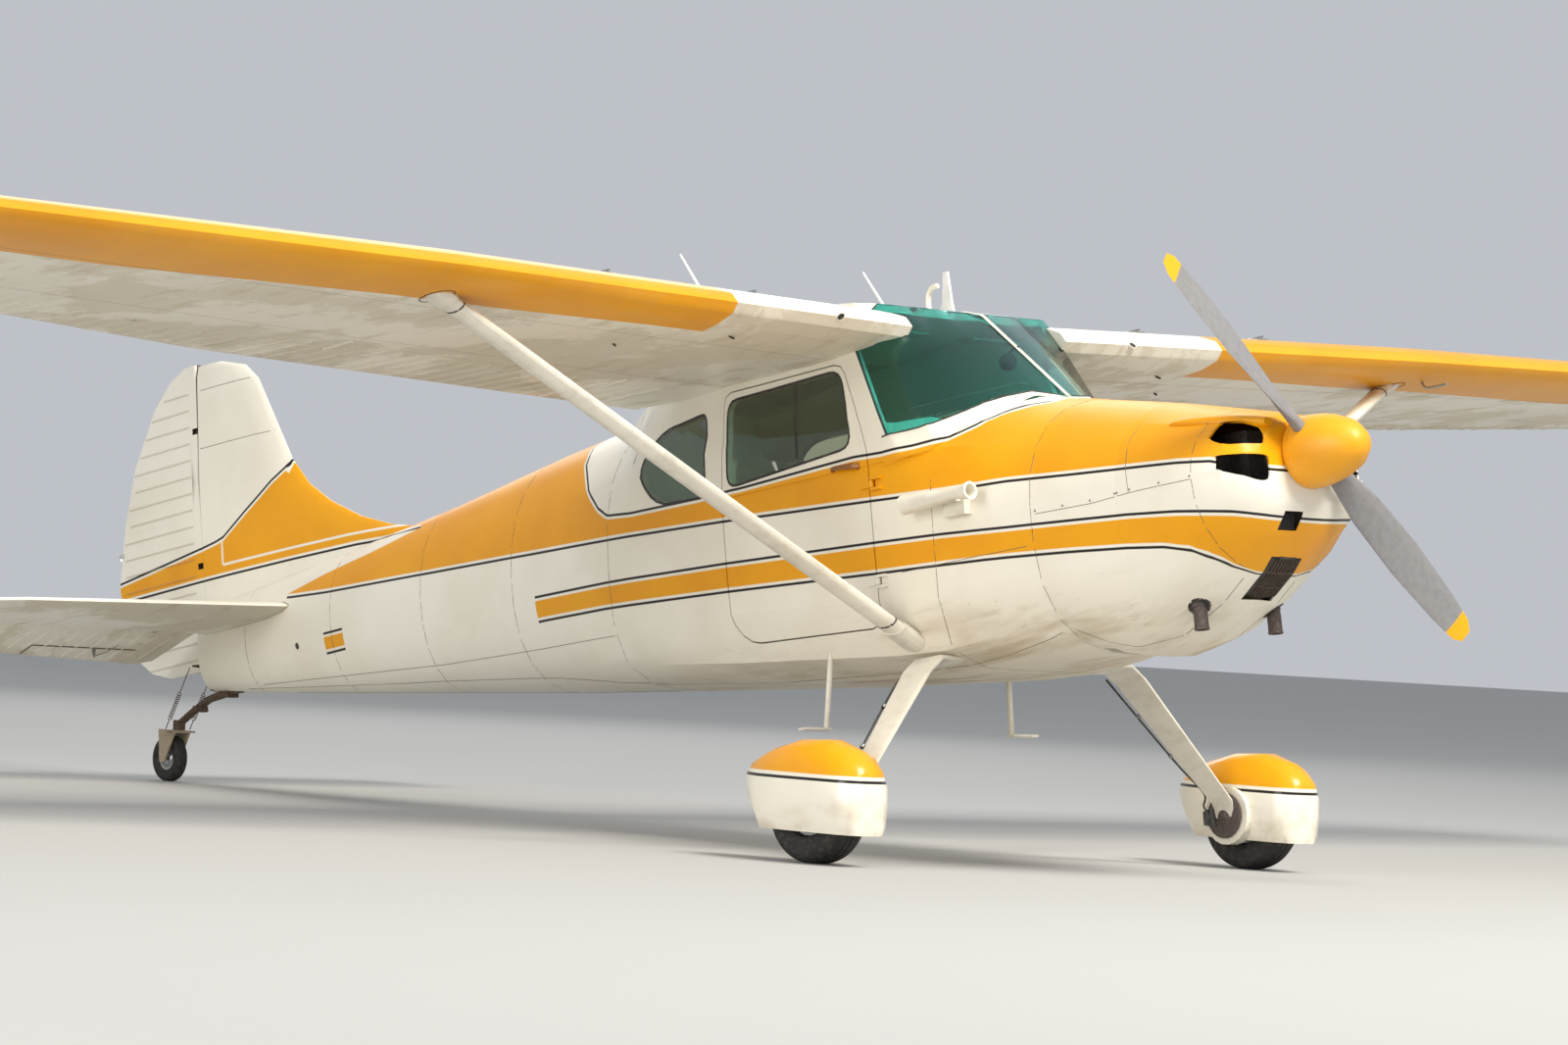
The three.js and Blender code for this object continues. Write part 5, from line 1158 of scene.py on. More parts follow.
def makeWingLines():
    lines = wingLines
    tip, behind = lines["tip"], lines["seamBehind"]

    def reach(front, rear, near, far):  # a line over one wing
        return [(front, side * near, 30), (rear, side * far, 30)]

    for side, hand in sides:
        node = f"wing_{hand}"
        rivets, seams = Sketch(), Sketch()
        for aimed in (up, down):
            for y in lines["ribs"]:
                rivets.studs(node, reach(*lines["ribReach"], y, y), aimed, **lines["ribRivet"])
            for root, end in lines["spars"]:
                rivets.studs(node, reach(root, end, *lines["sparSpan"]), aimed, **lines["sparRivet"])
                seams.ribbon(node, reach(root - behind, end - behind, *lines["sparSpan"]), aimed,
                             **lines["sparSeam"])
            seams.ribbon(node, reach(*tip["x"], tip["y"], tip["y"]), aimed, **lines["tipSeam"])
        finish(f"{hand}WingRivets", rivets, wingPaint)
        finish(f"{hand}WingSeams", seams, seamDark)


makeWingLines()
print("wing rivets and seams made")

# Windows: rubber seals, the windshield's centre strip and its side beads
glazingTrim = {
    "doorWindow": [(-36.9, 23.2), (-63.4, 22.8), (-63.2, 9.6), (-34.9, 11.5)],
    "doorRadii": [2.6, 2.6, 2.6, 2.6],
    "doorGrow": {"long": 1.004, "shift": 0.2, "high": 1.025, "level": 16.8},
    "rearWindow": [(-70, 22.3), (-83.4, 21.8), (-88.6, 16.4), (-82.2, 9.9), (-69.2, 9.4)],
    "rearRadii": [1.8, 7, 6, 7, 1.8],
    "rearGrow": {"long": 1.003, "shift": 0.23, "high": 1.03, "level": 16},
    "seal": {"width": 0.42, "proud": 0.07, "step": 0.7, "closed": True},
    "divider": [(-47.4, 23.0), (-47.2, 10.6)],
    "dividerBar": {"width": 0.4, "proud": 0.06},
    "centreStrip": [(-32.6, 33.5), (-29.8, 32.6), (-25.2, 30.4), (-8.4, 15.6)],
    "strip": {"width": 1.05, "proud": 0.1, "step": 0.9},
    "stripScrew": {"radius": 0.1, "proud": 0.15, "spacing": 1.7},
    "onToStrip": (-0.6, 0, -0.8),
    "sideBead": [(-33.2, 26.0), (-26.7, 11.2), (-19.2, 8.3)],
    "bead": {"width": 0.4, "proud": 0.05, "step": 0.8},
}


def sealLoop(outline, radii, grow):  # a window's outline, grown to lie just outside the pane
    level = grow["level"]
    return [(p.x * grow["long"] + grow["shift"], 0, (p.y - level) * grow["high"] + level)
            for p in eased(outline, radii)]


def inSide(points, y=0.0):  # points (x, z) of a side view, brought to a given distance from the middle
    return [(x, y, z) for x, z in points]


def makeGlazingTrim():
    trim = glazingTrim
    seals, strip, screws = Sketch(), Sketch(), Sketch()
    for side, hand in sides:
        aimed = (0, -side, 0)
        doorSeal, divider = Sketch(), Sketch()
        loop = sealLoop(trim["doorWindow"], trim["doorRadii"], trim["doorGrow"])
        doorSeal.ribbon(f"door_{hand}", loop, aimed, **trim["seal"])
        finish(f"{hand}DoorWindowSeal", doorSeal, blackTrimAndShade, f"{hand}_door")
        divider.ribbon(f"door_window_{hand}", inSide(trim["divider"]), aimed, **trim["dividerBar"])
        finish(f"{hand}WindowDivider", divider, blackTrimAndShade, f"{hand}_door")
        loop = sealLoop(trim["rearWindow"], trim["rearRadii"], trim["rearGrow"])
        seals.ribbon("cabin_shell", loop, aimed, **trim["seal"])
        seals.ribbon("windshield", inSide(trim["sideBead"]), aimed, **trim["bead"])
    finish("windowSeals", seals, blackTrimAndShade)
    strip.ribbon("windshield", inSide(trim["centreStrip"], 0.001), trim["onToStrip"], **trim["strip"])
    finish("windshieldStrip", strip, legPaint)
    screws.studs("windshield", inSide(trim["centreStrip"]), trim["onToStrip"], **trim["stripScrew"])
    finish("windshieldScrews", screws, steel)


makeGlazingTrim()
print("window trim made")

# Nose: grille slats, cooler fins, spinner plate and the exhaust collars
nose = {
    "grille": {"top": (32.6, -14.7), "low": (25.6, -19.75), "half": 3.0, "slats": 10, "edge": 0.4,
               "bands": (0.34, 0.67), "ends": (0.035, 0.965),
               "slat": {"width": 0.17, "proud": 0.09, "step": 0.5},
               "band": {"width": 0.16, "proud": 0.14, "step": 0.5},
               "rim": {"width": 0.4, "proud": 0.16, "step": 0.5}},
    "cooler": {"x": 35.0, "z": (-10.75, -8.55), "y": (-4.5, -1.1), "fins": 9, "inset": 0.2, "half": 0.05,
               "drop": 0.35, "twist": 0.12, "lean": 0.5, "deep": 0.6, "back": (-1.3, -0.7)},
    "spinnerPlate": [(4.8, 37.15), (5.12, 37.2), (5.2, 37.5), (5.12, 37.6), (4.6, 37.6), (4.6, 37.15)],
    "spinnerScrews": {"x": 38.15, "reach": 5.6, "number": 24},
    "spinnerScrew": {"radius": 0.1, "proud": 0.04, "spacing": 9, "count": 8},
    "exhaustY": 7.6,
    "collar": {"x": 21.35, "reach": 1.3, "z": -22, "width": 0.8, "proud": 0.05},
    "bore": {"x": 21.5, "z": -23.0, "radius": 0.8},
    "lip": {"x": 21.5, "z": -23.25,
            "profile": [(0.84, 0.0), (1.1, -0.1), (1.13, 0.1), (1.02, 0.22), (0.86, 0.22)]},
    "sleeve": {"x": 21.1, "z": -19.6, "axis": (0.12, 0, -1),
               "profile": [(1.08, 0.0), (1.22, 0.02), (1.22, 0.5), (1.08, 0.52)]},
}


def makeGrille():
    grille = nose["grille"]
    (topX, topZ), (lowX, lowZ) = grille["top"], grille["low"]
    run = Vector((lowX - topX, 0, lowZ - topZ))
    into = Vector((-run.z, 0, run.x)).normalized()
    into = into if into.z > 0 else -into
    half, edge = grille["half"], grille["edge"]

    def across(share, y):  # a point in front of the pane, so far down and so far out
        return Vector((topX, y, topZ)) + run * share - into * 2

    slats, rim = Sketch(), Sketch()
    for k in range(1, grille["slats"]):
        y = -half + 2 * half * k / grille["slats"]
        slats.ribbon("air_filter", [across(0.03, y), across(0.97, y)], into, **grille["slat"])
    for share in grille["bands"]:
        line = [across(share, -half + edge), across(share, half - edge)]
        slats.ribbon("air_filter", line, into, **grille["band"])
    for y in (-half + edge / 2, half - edge / 2):
        rim.ribbon("air_filter", [across(0.01, y), across(0.99, y)], into, **grille["rim"])
    for share in grille["ends"]:
        line = [across(share, -half + edge), across(share, half - edge)]
        rim.ribbon("air_filter", line, into, **grille["rim"])
    finish("grilleSlats", slats, rustySteel)
    finish("grilleRim", rim, blackTrimAndShade)


def plate(foot, head, ys, zs):  # the corners of an upright plate, from x at its foot to x at its head
    return [(foot, ys[0], zs[0]), (foot, ys[1], zs[0]), (head, ys[1], zs[1]), (head, ys[0], zs[1])]


def disc(near, far, thick):  # the profile of a plain round plate
    return [(0.02, 0.0), (near, 0.0), (far, thick), (0.02, thick)]


def makeCooler():
    cooler = nose["cooler"]
    fins, back = Sketch(), Sketch()
    (lowY, highY), x, half, inset = cooler["y"], cooler["x"], cooler["half"], cooler["inset"]
    for k in range(cooler["fins"]):
        y = lowY + inset + (highY - lowY - 2 * inset) * k / (cooler["fins"] - 1)
        drop = cooler["drop"] + cooler["twist"] * k / cooler["fins"]
        fin = plate(x - drop, x - drop + cooler["lean"], (y - half, y + half), cooler["z"])
        fins.slab(fin, (-cooler["deep"], 0, 0), 0.01)
    # a near-black plate behind the fins: painted shade
    foot, head = cooler["back"]
    back.slab(plate(x + foot, x + head, cooler["y"], cooler["z"]), (-0.1, 0, 0), 0.02)
    finish("coolerFins", fins, castMetal)
    finish("coolerShadow", back, paintedShadeInside)


def makeSpinnerPlate():
    backPlate, screws = Sketch(), Sketch()
    backPlate.lathe((0, 0, 0), (1, 0, 0), nose["spinnerPlate"], 48)
    row = nose["spinnerScrews"]
    for a in turns(row["number"]):
        spot = (row["x"], row["reach"] * math.cos(a), row["reach"] * math.sin(a))
        screws.studs("spinner", [spot, spot], None, **nose["spinnerScrew"])
    finish("spinnerPlate", backPlate, spinnerPaint, "propeller")
    finish("spinnerScrews", screws, steel, "propeller")


def makeExhaustCollars():
    collars, bores, rims = Sketch(), Sketch(), Sketch()
    collar, bore, lip, sleeve = (nose[k] for k in ("collar", "bore", "lip", "sleeve"))
    for side, _ in sides:
        y = side * nose["exhaustY"]
        ring = []
        for a in turns(24):
            ahead, out = (collar["reach"] * way(a) for way in (math.cos, math.sin))
            spot, _ = laid("nose_bowl", (collar["x"] + ahead, y + out, collar["z"]), up)
            if spot is not None:
                ring.append(spot)
        collars.ribbon("nose_bowl", ring, None, collar["width"], collar["proud"], 0.5, True)
        # a near-black disc down each exhaust pipe: painted shade in the bore
        bores.lathe((bore["x"], y, bore["z"]), down, disc(bore["radius"], bore["radius"], 0.1), 20)
        rims.lathe((lip["x"], y, lip["z"]), down, lip["profile"], 24)
        rims.lathe((sleeve["x"], y, sleeve["z"]), sleeve["axis"], sleeve["profile"], 24)
    finish("exhaustCollars", collars, blackTrimAndShade)
    finish("exhaustBores", bores, paintedShadeInside)
    finish("exhaustRims", rims, exhaustMetal)


makeGrille()
makeCooler()
makeSpinnerPlate()
makeExhaustCollars()
print("nose details made")

# Wing fittings: strut cuffs, air holes, fuel caps, tip lights, pitot mast and drains
wingFittings = {
    "airHole": (-23.2, 30.4, 28.65),
    "airHoleRim": [(0.56, 0.0), (0.72, 0.06), (0.66, 0.2), (0.56, 0.14)],
    "fuelCaps": [(-33.5, 40.0), (-33.5, 68.0)],
    "cap": [(0.02, -0.1), (1.7, -0.1), (1.7, 0.12), (1.45, 0.3), (0.5, 0.34), (0.02, 0.34)],
    "capBar": {"half": (1, 0.16), "rise": 0.3},
    "pitot": [(-29.8, 102.2, 30.4), (-29.8, 102.2, 28.2), (-28.6, 102.2, 27.3), (-24.6, 102.2, 27.2)],
    "pitotRadius": 0.22,
    "probes": [[(-34, 44.4, 27.6), (-34, 44.4, 26.3), (-33.0, 44.4, 25.7)],
               [(-46.1, 56.4, 27.6), (-46.1, 56.4, 26.4), (-45.6, 56.4, 26.0)]],
    "probeRadius": 0.16,
    "upperCuff": {"at": (-34.1, 98.6, 28.75), "size": (3.3, 1.9), "width": 0.2, "proud": 0.06},
    "tipLight": {"at": (-42.0, 215.3, 36.0), "long": 1.8, "high": 0.75},
}


def makeTipLight(side, hand):
    light, glow = wingFittings["tipLight"], Sketch()
    x, y, z = light["at"]
    rings = []
    for k in range(9):
        t = k / 8
        radius = light["high"] * math.sin(math.pi * min(0.98, max(0.04, t))) ** 0.7
        spot, _ = laid(f"wing_{hand}", (x + light["long"] * (1 - 2 * t), side * y, z))
        rings.append([spot + Vector((0, side * radius * math.cos(a) * 0.9, radius * math.sin(a)))
                      for a in turns(16)])
    glow.sweep(rings)
    finish(f"{hand}TipLight", glow, lampRed if side > 0 else lampGreen)


def makeWingFittings():
    fittings = wingFittings
    dark, pale, metal = Sketch(), Sketch(), Sketch()
    for side, hand in sides:
        node = f"wing_{hand}"
        x, y, z = fittings["airHole"]
        spot, normal = laid(node, (x, side * y, z))
        # a black disc sunk in the air hole: painted shade inside it
        dark.lathe(spot - normal * 0.04, normal, disc(0.5, 0.56, 0.1), 20)
        pale.lathe(spot - normal * 0.1, normal, fittings["airHoleRim"], 20)
        for x, y in fittings["fuelCaps"]:
            spot, normal = laid(node, (x, side * y, 60), down)
            metal.lathe(spot, normal, fittings["cap"], 32)
            long, wide = fittings["capBar"]["half"]
            rise = normal * fittings["capBar"]["rise"]
            corners = [(-long, -wide, 0), (long, -wide, 0), (long, wide, 0), (-long, wide, 0)]
            metal.slab([spot + rise + Vector(corner) for corner in corners], rise, 0.06)
        for probe in fittings["probes"]:
            dark.pipe(smoothed([(x, side * y, z) for x, y, z in probe], 4), fittings["probeRadius"])
        cuff = fittings["upperCuff"]
        (x, y, z), (long, wide) = cuff["at"], cuff["size"]
        loop = [(x + long * math.cos(a), side * (y + wide * math.sin(a)), z) for a in turns(28)]
        dark.ribbon(node, loop, up, cuff["width"], cuff["proud"], 0.6, True)
        makeTipLight(side, hand)
    metal.pipe(smoothed(fittings["pitot"], 5), fittings["pitotRadius"], 10)
    finish("wingDarkFittings", dark, blackTrimAndShade)
    finish("airHoleRims", pale, wingPaint)
    finish("fuelCapsAndPitot", metal, bareMetal)


makeWingFittings()
print("wing fittings made")

# Main gear: brake discs and calipers, hoses down the legs, grooved tyres
mainGear = {
    "axle": (-20.87, 44.8, -44.46),
    "discY": 38.5,
    "disc": [(1.3, 0.0), (3.35, 0.0), (3.45, 0.06), (3.45, 0.26), (3.35, 0.32), (1.3, 0.32)],
    "hub": [(0.02, -0.3), (0.75, -0.3), (1.3, 0.0), (1.3, 0.5), (0.02, 0.5)],
    "caliper": {"along": (-3.9, -1.7), "up": (-1.5, 1.5), "y": (37.9, 39.3), "rearHeight": 0.7},
    "bolts": {"x": -2.7, "z": (-0.75, 0.75), "radius": 0.3, "thick": 0.22},
    "hose": [(-26.0, 20.5, -23.5), (-26.2, 23.5, -26.0), (-24.6, 33.0, -36.2), (-23.7, 37.4, -40.6),
             (-24.6, 38.2, -42.6), (-23.9, 38.4, -43.8)],
    "hoseRadius": 0.17,
    "clips": [(-25.55, 26.4, -28.9), (-24.75, 31.9, -35.0)],
    "clip": [(0.2, -0.28), (0.34, -0.28), (0.34, 0.28), (0.2, 0.28)],
    "tyre": {"radius": 8.1, "rim": 4.15, "half": 3.08, "grooves": (-1.35, -0.45, 0.45, 1.35), "cut": 0.14},
}


def tyreProfile(size):  # a worn, ribbed aircraft tyre, from its inner bead round to the other
    radius, rim, half = size["radius"], size["rim"], size["half"]
    points = [(rim, -half * 0.62), (rim + 0.25, -half * 0.78)]
    middle = (radius + rim) / 2
    for k in range(1, 8):
        a = math.pi * k / 16
        points.append((middle + (radius - middle) * math.sin(a) ** 0.8, -half * math.cos(a) ** 0.55))
    shoulder = -half * 0.52
    points.append((radius - 0.03 * half * (shoulder / (half * 0.55)) ** 2, shoulder))
    wall = list(points)
    for groove in size["grooves"]:
        for step, depth in ((-0.09, 0), (-0.05, size["cut"]), (0.05, size["cut"]), (0.09, 0)):
            y = groove + step
            points.append((radius - 0.02 * y * y - depth, y))
    return points + [(r, -y) for r, y in wall[::-1]]


def makeMainGear():
    gear, caliper, bolts = mainGear, mainGear["caliper"], mainGear["bolts"]
    x, y, z = gear["axle"]
    (rearX, frontX), (lowZ, highZ), (innerY, outerY) = (caliper[k] for k in ("along", "up", "y"))
    for side, hand in sides:
        brake, clamp, hose, clips, tyre = Sketch(), Sketch(), Sketch(), Sketch(), Sketch()
        outward = (0, side, 0)
        for profile, count in ((gear["disc"], 40), (gear["hub"], 24)):
            brake.lathe((x, side * gear["discY"], z), outward, profile, count)
        low, high = (z + level * caliper["rearHeight"] for level in (lowZ, highZ))
        block = [(x + rearX, side * innerY, low), (x + rearX, side * innerY, high),
                 (x + frontX, side * innerY, z + highZ), (x + frontX, side * innerY, z + lowZ)]
        clamp.slab(block, (0, side * (outerY - innerY), 0), 0.18)
        for bolt in bolts["z"]:
            foot = (x + bolts["x"], side * (innerY + 0.02), z + bolt)
            clamp.lathe(foot, (0, -side, 0), disc(bolts["radius"], bolts["radius"], bolts["thick"]), 6)
        hose.pipe(smoothed([(px, side * py, pz) for px, py, pz in gear["hose"]], 8), gear["hoseRadius"])
        for px, py, pz in gear["clips"]:
            clips.lathe((px, side * py, pz), (0.1, side * 0.75, -0.66), gear["clip"], 14)
        tyre.lathe((x, side * y, z), outward, tyreProfile(gear["tyre"]), 96)
        finish(f"{hand}BrakeDisc", brake, exhaustMetal)
        finish(f"{hand}Caliper", clamp, castMetal)
        finish(f"{hand}BrakeHose", hose, blackTrimAndShade)
        finish(f"{hand}HoseClips", clips, steel)
        finish(f"{hand}RibbedTyre", tyre, rubber, f"{hand}_wheel", 28, (f"tyre_{hand}",))


makeMainGear()
print("main gear details made")

# Tail gear: tyre with ribs, spring clamps, steering arms and their springs
tailGear = {
    "tyre": {"radius": 4.08, "rim": 2.1, "half": 1.18, "grooves": (-0.32, 0.32), "cut": 0.08},
    "centre": (-238.35, 0.0, -10.2),
    "springFrom": (-227.6, 2.6, 4.4),
    "springTo": (-235.6, 2.6, -5.4),
    "coil": {"radius": 0.34, "wire": 0.07, "turns": 13, "steps": 10, "share": (0.42, 0.84)},
    "links": (0.08, 0.09),  # radius of the cable and of the rod at the spring's ends
    "arm": {"x": -226.2, "z": 4.5, "ys": (-3.0, -1.5, 0, 1.5, 3.0), "radii": (0.16, 0.3, 0.4, 0.3, 0.16)},
    "clamps": [(-219.5, -1.3), (-228.6, -2.7)],
    "clamp": {"long": 0.6, "wide": 1.25, "foot": (-0.5, -0.6), "high": 1.1},
}


def makeSteeringSpring(side, hand):
    gear, coil, spring = tailGear, tailGear["coil"], Sketch()
    (x0, y0, z0), (x1, y1, z1) = gear["springFrom"], gear["springTo"]
    start, end = Vector((x0, side * y0, z0)), Vector((x1, side * y1, z1))
    first, last = coil["share"]
    spring.pipe([start.lerp(end, first * k / 6) for k in range(7)], gear["links"][0], 6)
    spring.pipe([start.lerp(end, last + (1 - last) * k / 4) for k in range(5)], gear["links"][1], 6)
    along = (end - start).normalized()
    u = along.orthogonal().normalized()
    v = along.cross(u)
    wire, count = [], coil["turns"] * coil["steps"]
    for k in range(count + 1):
        a = 2 * math.pi * k / coil["steps"]
        spot = start.lerp(end, first + (last - first) * k / count)
        wire.append(spot + (u * math.cos(a) + v * math.sin(a)) * coil["radius"])
    spring.pipe(wire, coil["wire"], 6)
    made = finish(f"{hand}SteeringSpring", spring, rustySteel, None)
    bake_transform(made)


def makeTailGear():
    gear, arm, clamp = tailGear, tailGear["arm"], tailGear["clamp"]
    tyre, fittings = Sketch(), Sketch()
    tyre.lathe(gear["centre"], (0, 1, 0), tyreProfile(gear["tyre"]), 72)
    finish("tailRibbedTyre", tyre, rubber, "tail_wheel", 28, ("tail_tyre",))
    for side, hand in sides:
        makeSteeringSpring(side, hand)
    fittings.pipe([(arm["x"], y, arm["z"]) for y in arm["ys"]], arm["radii"])
    long, wide, (rear, front) = clamp["long"], clamp["wide"], clamp["foot"]
    for x, z in gear["clamps"]:
        fittings.slab([(x - long, -wide, z + rear), (x + long, -wide, z + front),
                       (x + long, wide, z + front), (x - long, wide, z + rear)], (0, 0, clamp["high"]), 0.1)
    finish("springClamps", fittings, rustySteel)


makeTailGear()
print("tail gear details made")

# The painted strip that holds the windshield down along the cowl, from outside the post to the middle
retainer = {
    "proud": 0.12,
    "sunk": 0.03,
    "steps": 12,
    "between": 4,
    "seal": 0.13,
    "lie": (-0.45, -0.5),
    "half": 20.8,
    "under": ("windshield", "boot_cowl", "cabin_shell"),
    "line": [  # x, y and z of its upper edge on the glass, and how far down it reaches
        (-27.9, 20.8, 11.7, 4.4), (-25.6, 20.5, 11.8, 4.3), (-23.5, 20.1, 11.95, 4.2),
        (-21.4, 19.5, 12.1, 4.1), (-19.5, 18.7, 12.35, 4.4), (-17.9, 17.2, 12.95, 4.4),
        (-16.0, 15.0, 13.85, 3.7), (-14.7, 12.2, 15.1, 3.0), (-13.6, 10.3, 15.7, 2.5),
        (-12.4, 8.0, 16.0, 1.9), (-11.1, 5.0, 16.15, 1.3), (-9.8, 2.4, 16.2, 1.0),
    ],
}


def makeRetainer():
    line, between, steps = retainer["line"], retainer["between"], retainer["steps"]
    fine = [[a + (b - a) * k / between for a, b in zip(row, after)]
            for row, after in zip(line, line[1:]) for k in range(between)] + [list(line[-1])]
    rows = [(1, row) for row in fine] + [(-1, row) for row in fine[::-1]]
    rings = []
    for side, (x, y, z, drop) in rows:
        back, lower = retainer["lie"]
        aimed = Vector((back, -side * y / retainer["half"], lower)).normalized()
        outer, inner = [], []
        for k in range(steps + 1):
            point = Vector((x, side * y, z - drop * k / steps))
            hits = [laid(name, point, aimed) for name in retainer["under"]]
            spot, normal = min((hit for hit in hits if hit[0] is not None), key=lambda hit: hit[0].dot(aimed))
            outer.append(spot + normal * retainer["proud"])
            inner.append(spot - normal * retainer["sunk"])
        rings.append(outer + inner[::-1])
    sheet, edge = Sketch(), Sketch()
    sheet.sweep(rings)
    finish("windshieldRetainer", sheet, skinPaint, crease=50)
    edge.pipe([ring[0] for ring in rings], retainer["seal"], 6)
    finish("retainerSeal", edge, blackTrimAndShade)


makeRetainer()

# Doors, side fittings and struts' ends
sideFittings = {
    "handle": {"from": (-39.4, 8.5), "to": (-33.2, 8.2), "high": 0.42, "thick": 0.16, "proud": 0.75},
    "foot": {"inset": 0.5, "profile": [(0.02, -0.05), (0.5, -0.05), (0.42, 0.2), (0.02, 0.3)]},
    "lock": (-59.6, 3.2),
    "lockProfile": [(0.02, -0.05), (0.42, -0.05), (0.38, 0.08), (0.1, 0.1), (0.02, 0.02)],
    "portHole": (-191.5, 3.2),
    "portRim": [(0.6, 0.0), (0.85, 0.0), (0.82, 0.1), (0.62, 0.12)],
    "strut": {"lower": (-25.8, 19.6, -18.8), "upper": (-34.1, 100, 29.3), "shares": (0.052, 0.945)},
    "cuff": {"width": 0.34, "proud": 0.06, "step": 0.4, "closed": True},
    "vents": [(-8.5, -15.4), (-13.5, -15.2)],
    "vent": [(0.02, 0.0), (0.3, 0.0), (0.22, 0.12), (0.02, 0.14)],
}


def makeDoorFittings(side, hand):
    fittings, row = sideFittings, sideFittings["handle"]
    (x0, z0), (x1, z1) = row["from"], row["to"]
    door, aimed = f"door_{hand}", (0, -side, 0)
    handle, lock = Sketch(), Sketch()
    rings = []
    for k in range(13):
        t = k / 12
        spot, normal = laid(door, (x0 + (x1 - x0) * t, 0, z0 + (z1 - z0) * t), aimed)
        middle = spot + normal * (row["proud"] * (1 - abs(2 * t - 1) ** 4) + 0.06)
        high = row["high"] * (0.75 + 0.35 * t)
        rings.append([middle + Vector((0, row["thick"] * math.cos(a) * side, high * math.sin(a)))
                      for a in turns(12)])
    handle.sweep(rings)
    inset = fittings["foot"]["inset"]
    for x, z in ((x0 + inset, z0), (x1 - inset, z1)):
        handle.lathe(*laid(door, (x, 0, z), aimed), fittings["foot"]["profile"], 18)
    finish(f"{hand}DoorHandle", handle, handleMetal, f"{hand}_door")
    lock.lathe(*laid(door, *inSide([fittings["lock"]]), aimed), fittings["lockProfile"], 20)
    finish(f"{hand}DoorLock", lock, steel, f"{hand}_door")


def strutCuff(dark, side, hand):  # black seals round the strut, near its ends
    row = sideFittings["strut"]
    low, high = (Vector((x, side * y, z)) for x, y, z in (row["lower"], row["upper"]))
    ahead = Vector((1, 0, 0))
    across = (high - low).normalized().cross(ahead).normalized()
    for share in row["shares"]:
        centre = low.lerp(high, share)
        ring = []
        for a in turns(32):
            out = (ahead * math.cos(a) * 2.2 + across * math.sin(a)) * 1.6
            spot, _ = laid(f"strut_{hand}", centre + out, -out)
            if spot is not None:
                ring.append(spot)
        dark.ribbon(f"strut_{hand}", ring, None, **sideFittings["cuff"])


def makeSideFittings():
    fittings = sideFittings
    dark, rims = Sketch(), Sketch()
    for side, hand in sides:
        aimed = (0, -side, 0)
        makeDoorFittings(side, hand)
        spot, normal = laid("tail_cone", *inSide([fittings["portHole"]]), aimed)
        # a black disc in the hole: painted shade inside it
        dark.lathe(spot, normal, disc(0.62, 0.66, 0.04), 20)
        rims.lathe(spot, normal, fittings["portRim"], 24)
        strutCuff(dark, side, hand)
        for point in inSide(fittings["vents"]):
            rims.lathe(*laid("boot_cowl", point, aimed), fittings["vent"], 16)
    finish("darkSideFittings", dark, blackTrimAndShade)
    finish("sideFittingRims", rims, skinPaint)


makeSideFittings()
print("doors, retainer and side fittings made")

# Tail: trim tab outline and horn, tail lamp, fin seams
tailFittings = {
    "tab": [(-229.2, 12.5), (-229.2, 34.5), (-236.0, 34.5), (-236.0, 12.5)],
    "tabGap": {"width": 0.14, "proud": 0.165, "step": 0.8},
    "horn": (-229.6, 21.4),
    "hornPlate": [(0.6, 0.05, 0.1), (-0.6, 0.05, 0.1), (-0.2, 0.05, -1.5), (0.2, 0.05, -1.5)],
    "rod": [(0, 0, -1.3), (3.6, 0, -1.1), (7.4, 0, -0.4)],
    "rodRadius": 0.09,
    "lamp": {"at": (-248.6, 0, 27.2), "radius": 0.75, "long": 0.9},
    "finSeams": [(42.6, -223.2, -202.2), (52.9, -222.6, -208.4)],
    "finSeam": {"width": 0.12, "proud": 0.012},
}


def makeTailFittings():
    fittings = tailFittings
    tab, horn, lamp, seams = Sketch(), Sketch(), Sketch(), Sketch()
    for aimed in (up, down):
        tab.ribbon("elevator", [(x, -y, 10) for x, y in fittings["tab"]], aimed, **fittings["tabGap"])
    x, y = fittings["horn"]
    spot, _ = laid("elevator", (x, -y, 10), up)
    horn.slab([spot + Vector(corner) for corner in fittings["hornPlate"]], (0, -0.12, 0), 0.02)
    horn.pipe([spot + Vector(point) for point in fittings["rod"]], fittings["rodRadius"])
    radius, long = fittings["lamp"]["radius"], fittings["lamp"]["long"]
    spot, _ = laid("rudder", fittings["lamp"]["at"], (1, 0, 0))
    dome = [(radius * math.cos(a), 0.1 + long * math.sin(a)) for a in (math.pi * k / 16 for k in range(8))]
    lamp.lathe(spot, aft, [(0.02, -0.3), (radius * 0.8, -0.3), *dome, (0.02, 0.1 + long)], 24)
    for z, rear, front in fittings["finSeams"]:
        for side, _ in sides:
            seams.ribbon("fin", [(front, 0, z), (rear, 0, z)], (0, -side, 0), **fittings["finSeam"])
    finish("trimTabGap", tab, seamDark, "elevator")
    finish("trimTabHorn", horn, steel, "elevator")
    finish("tailLamp", lamp, lampClear, "rudder")
    finish("finSeams", seams, seamDark)


makeTailFittings()
print("tail fittings made")

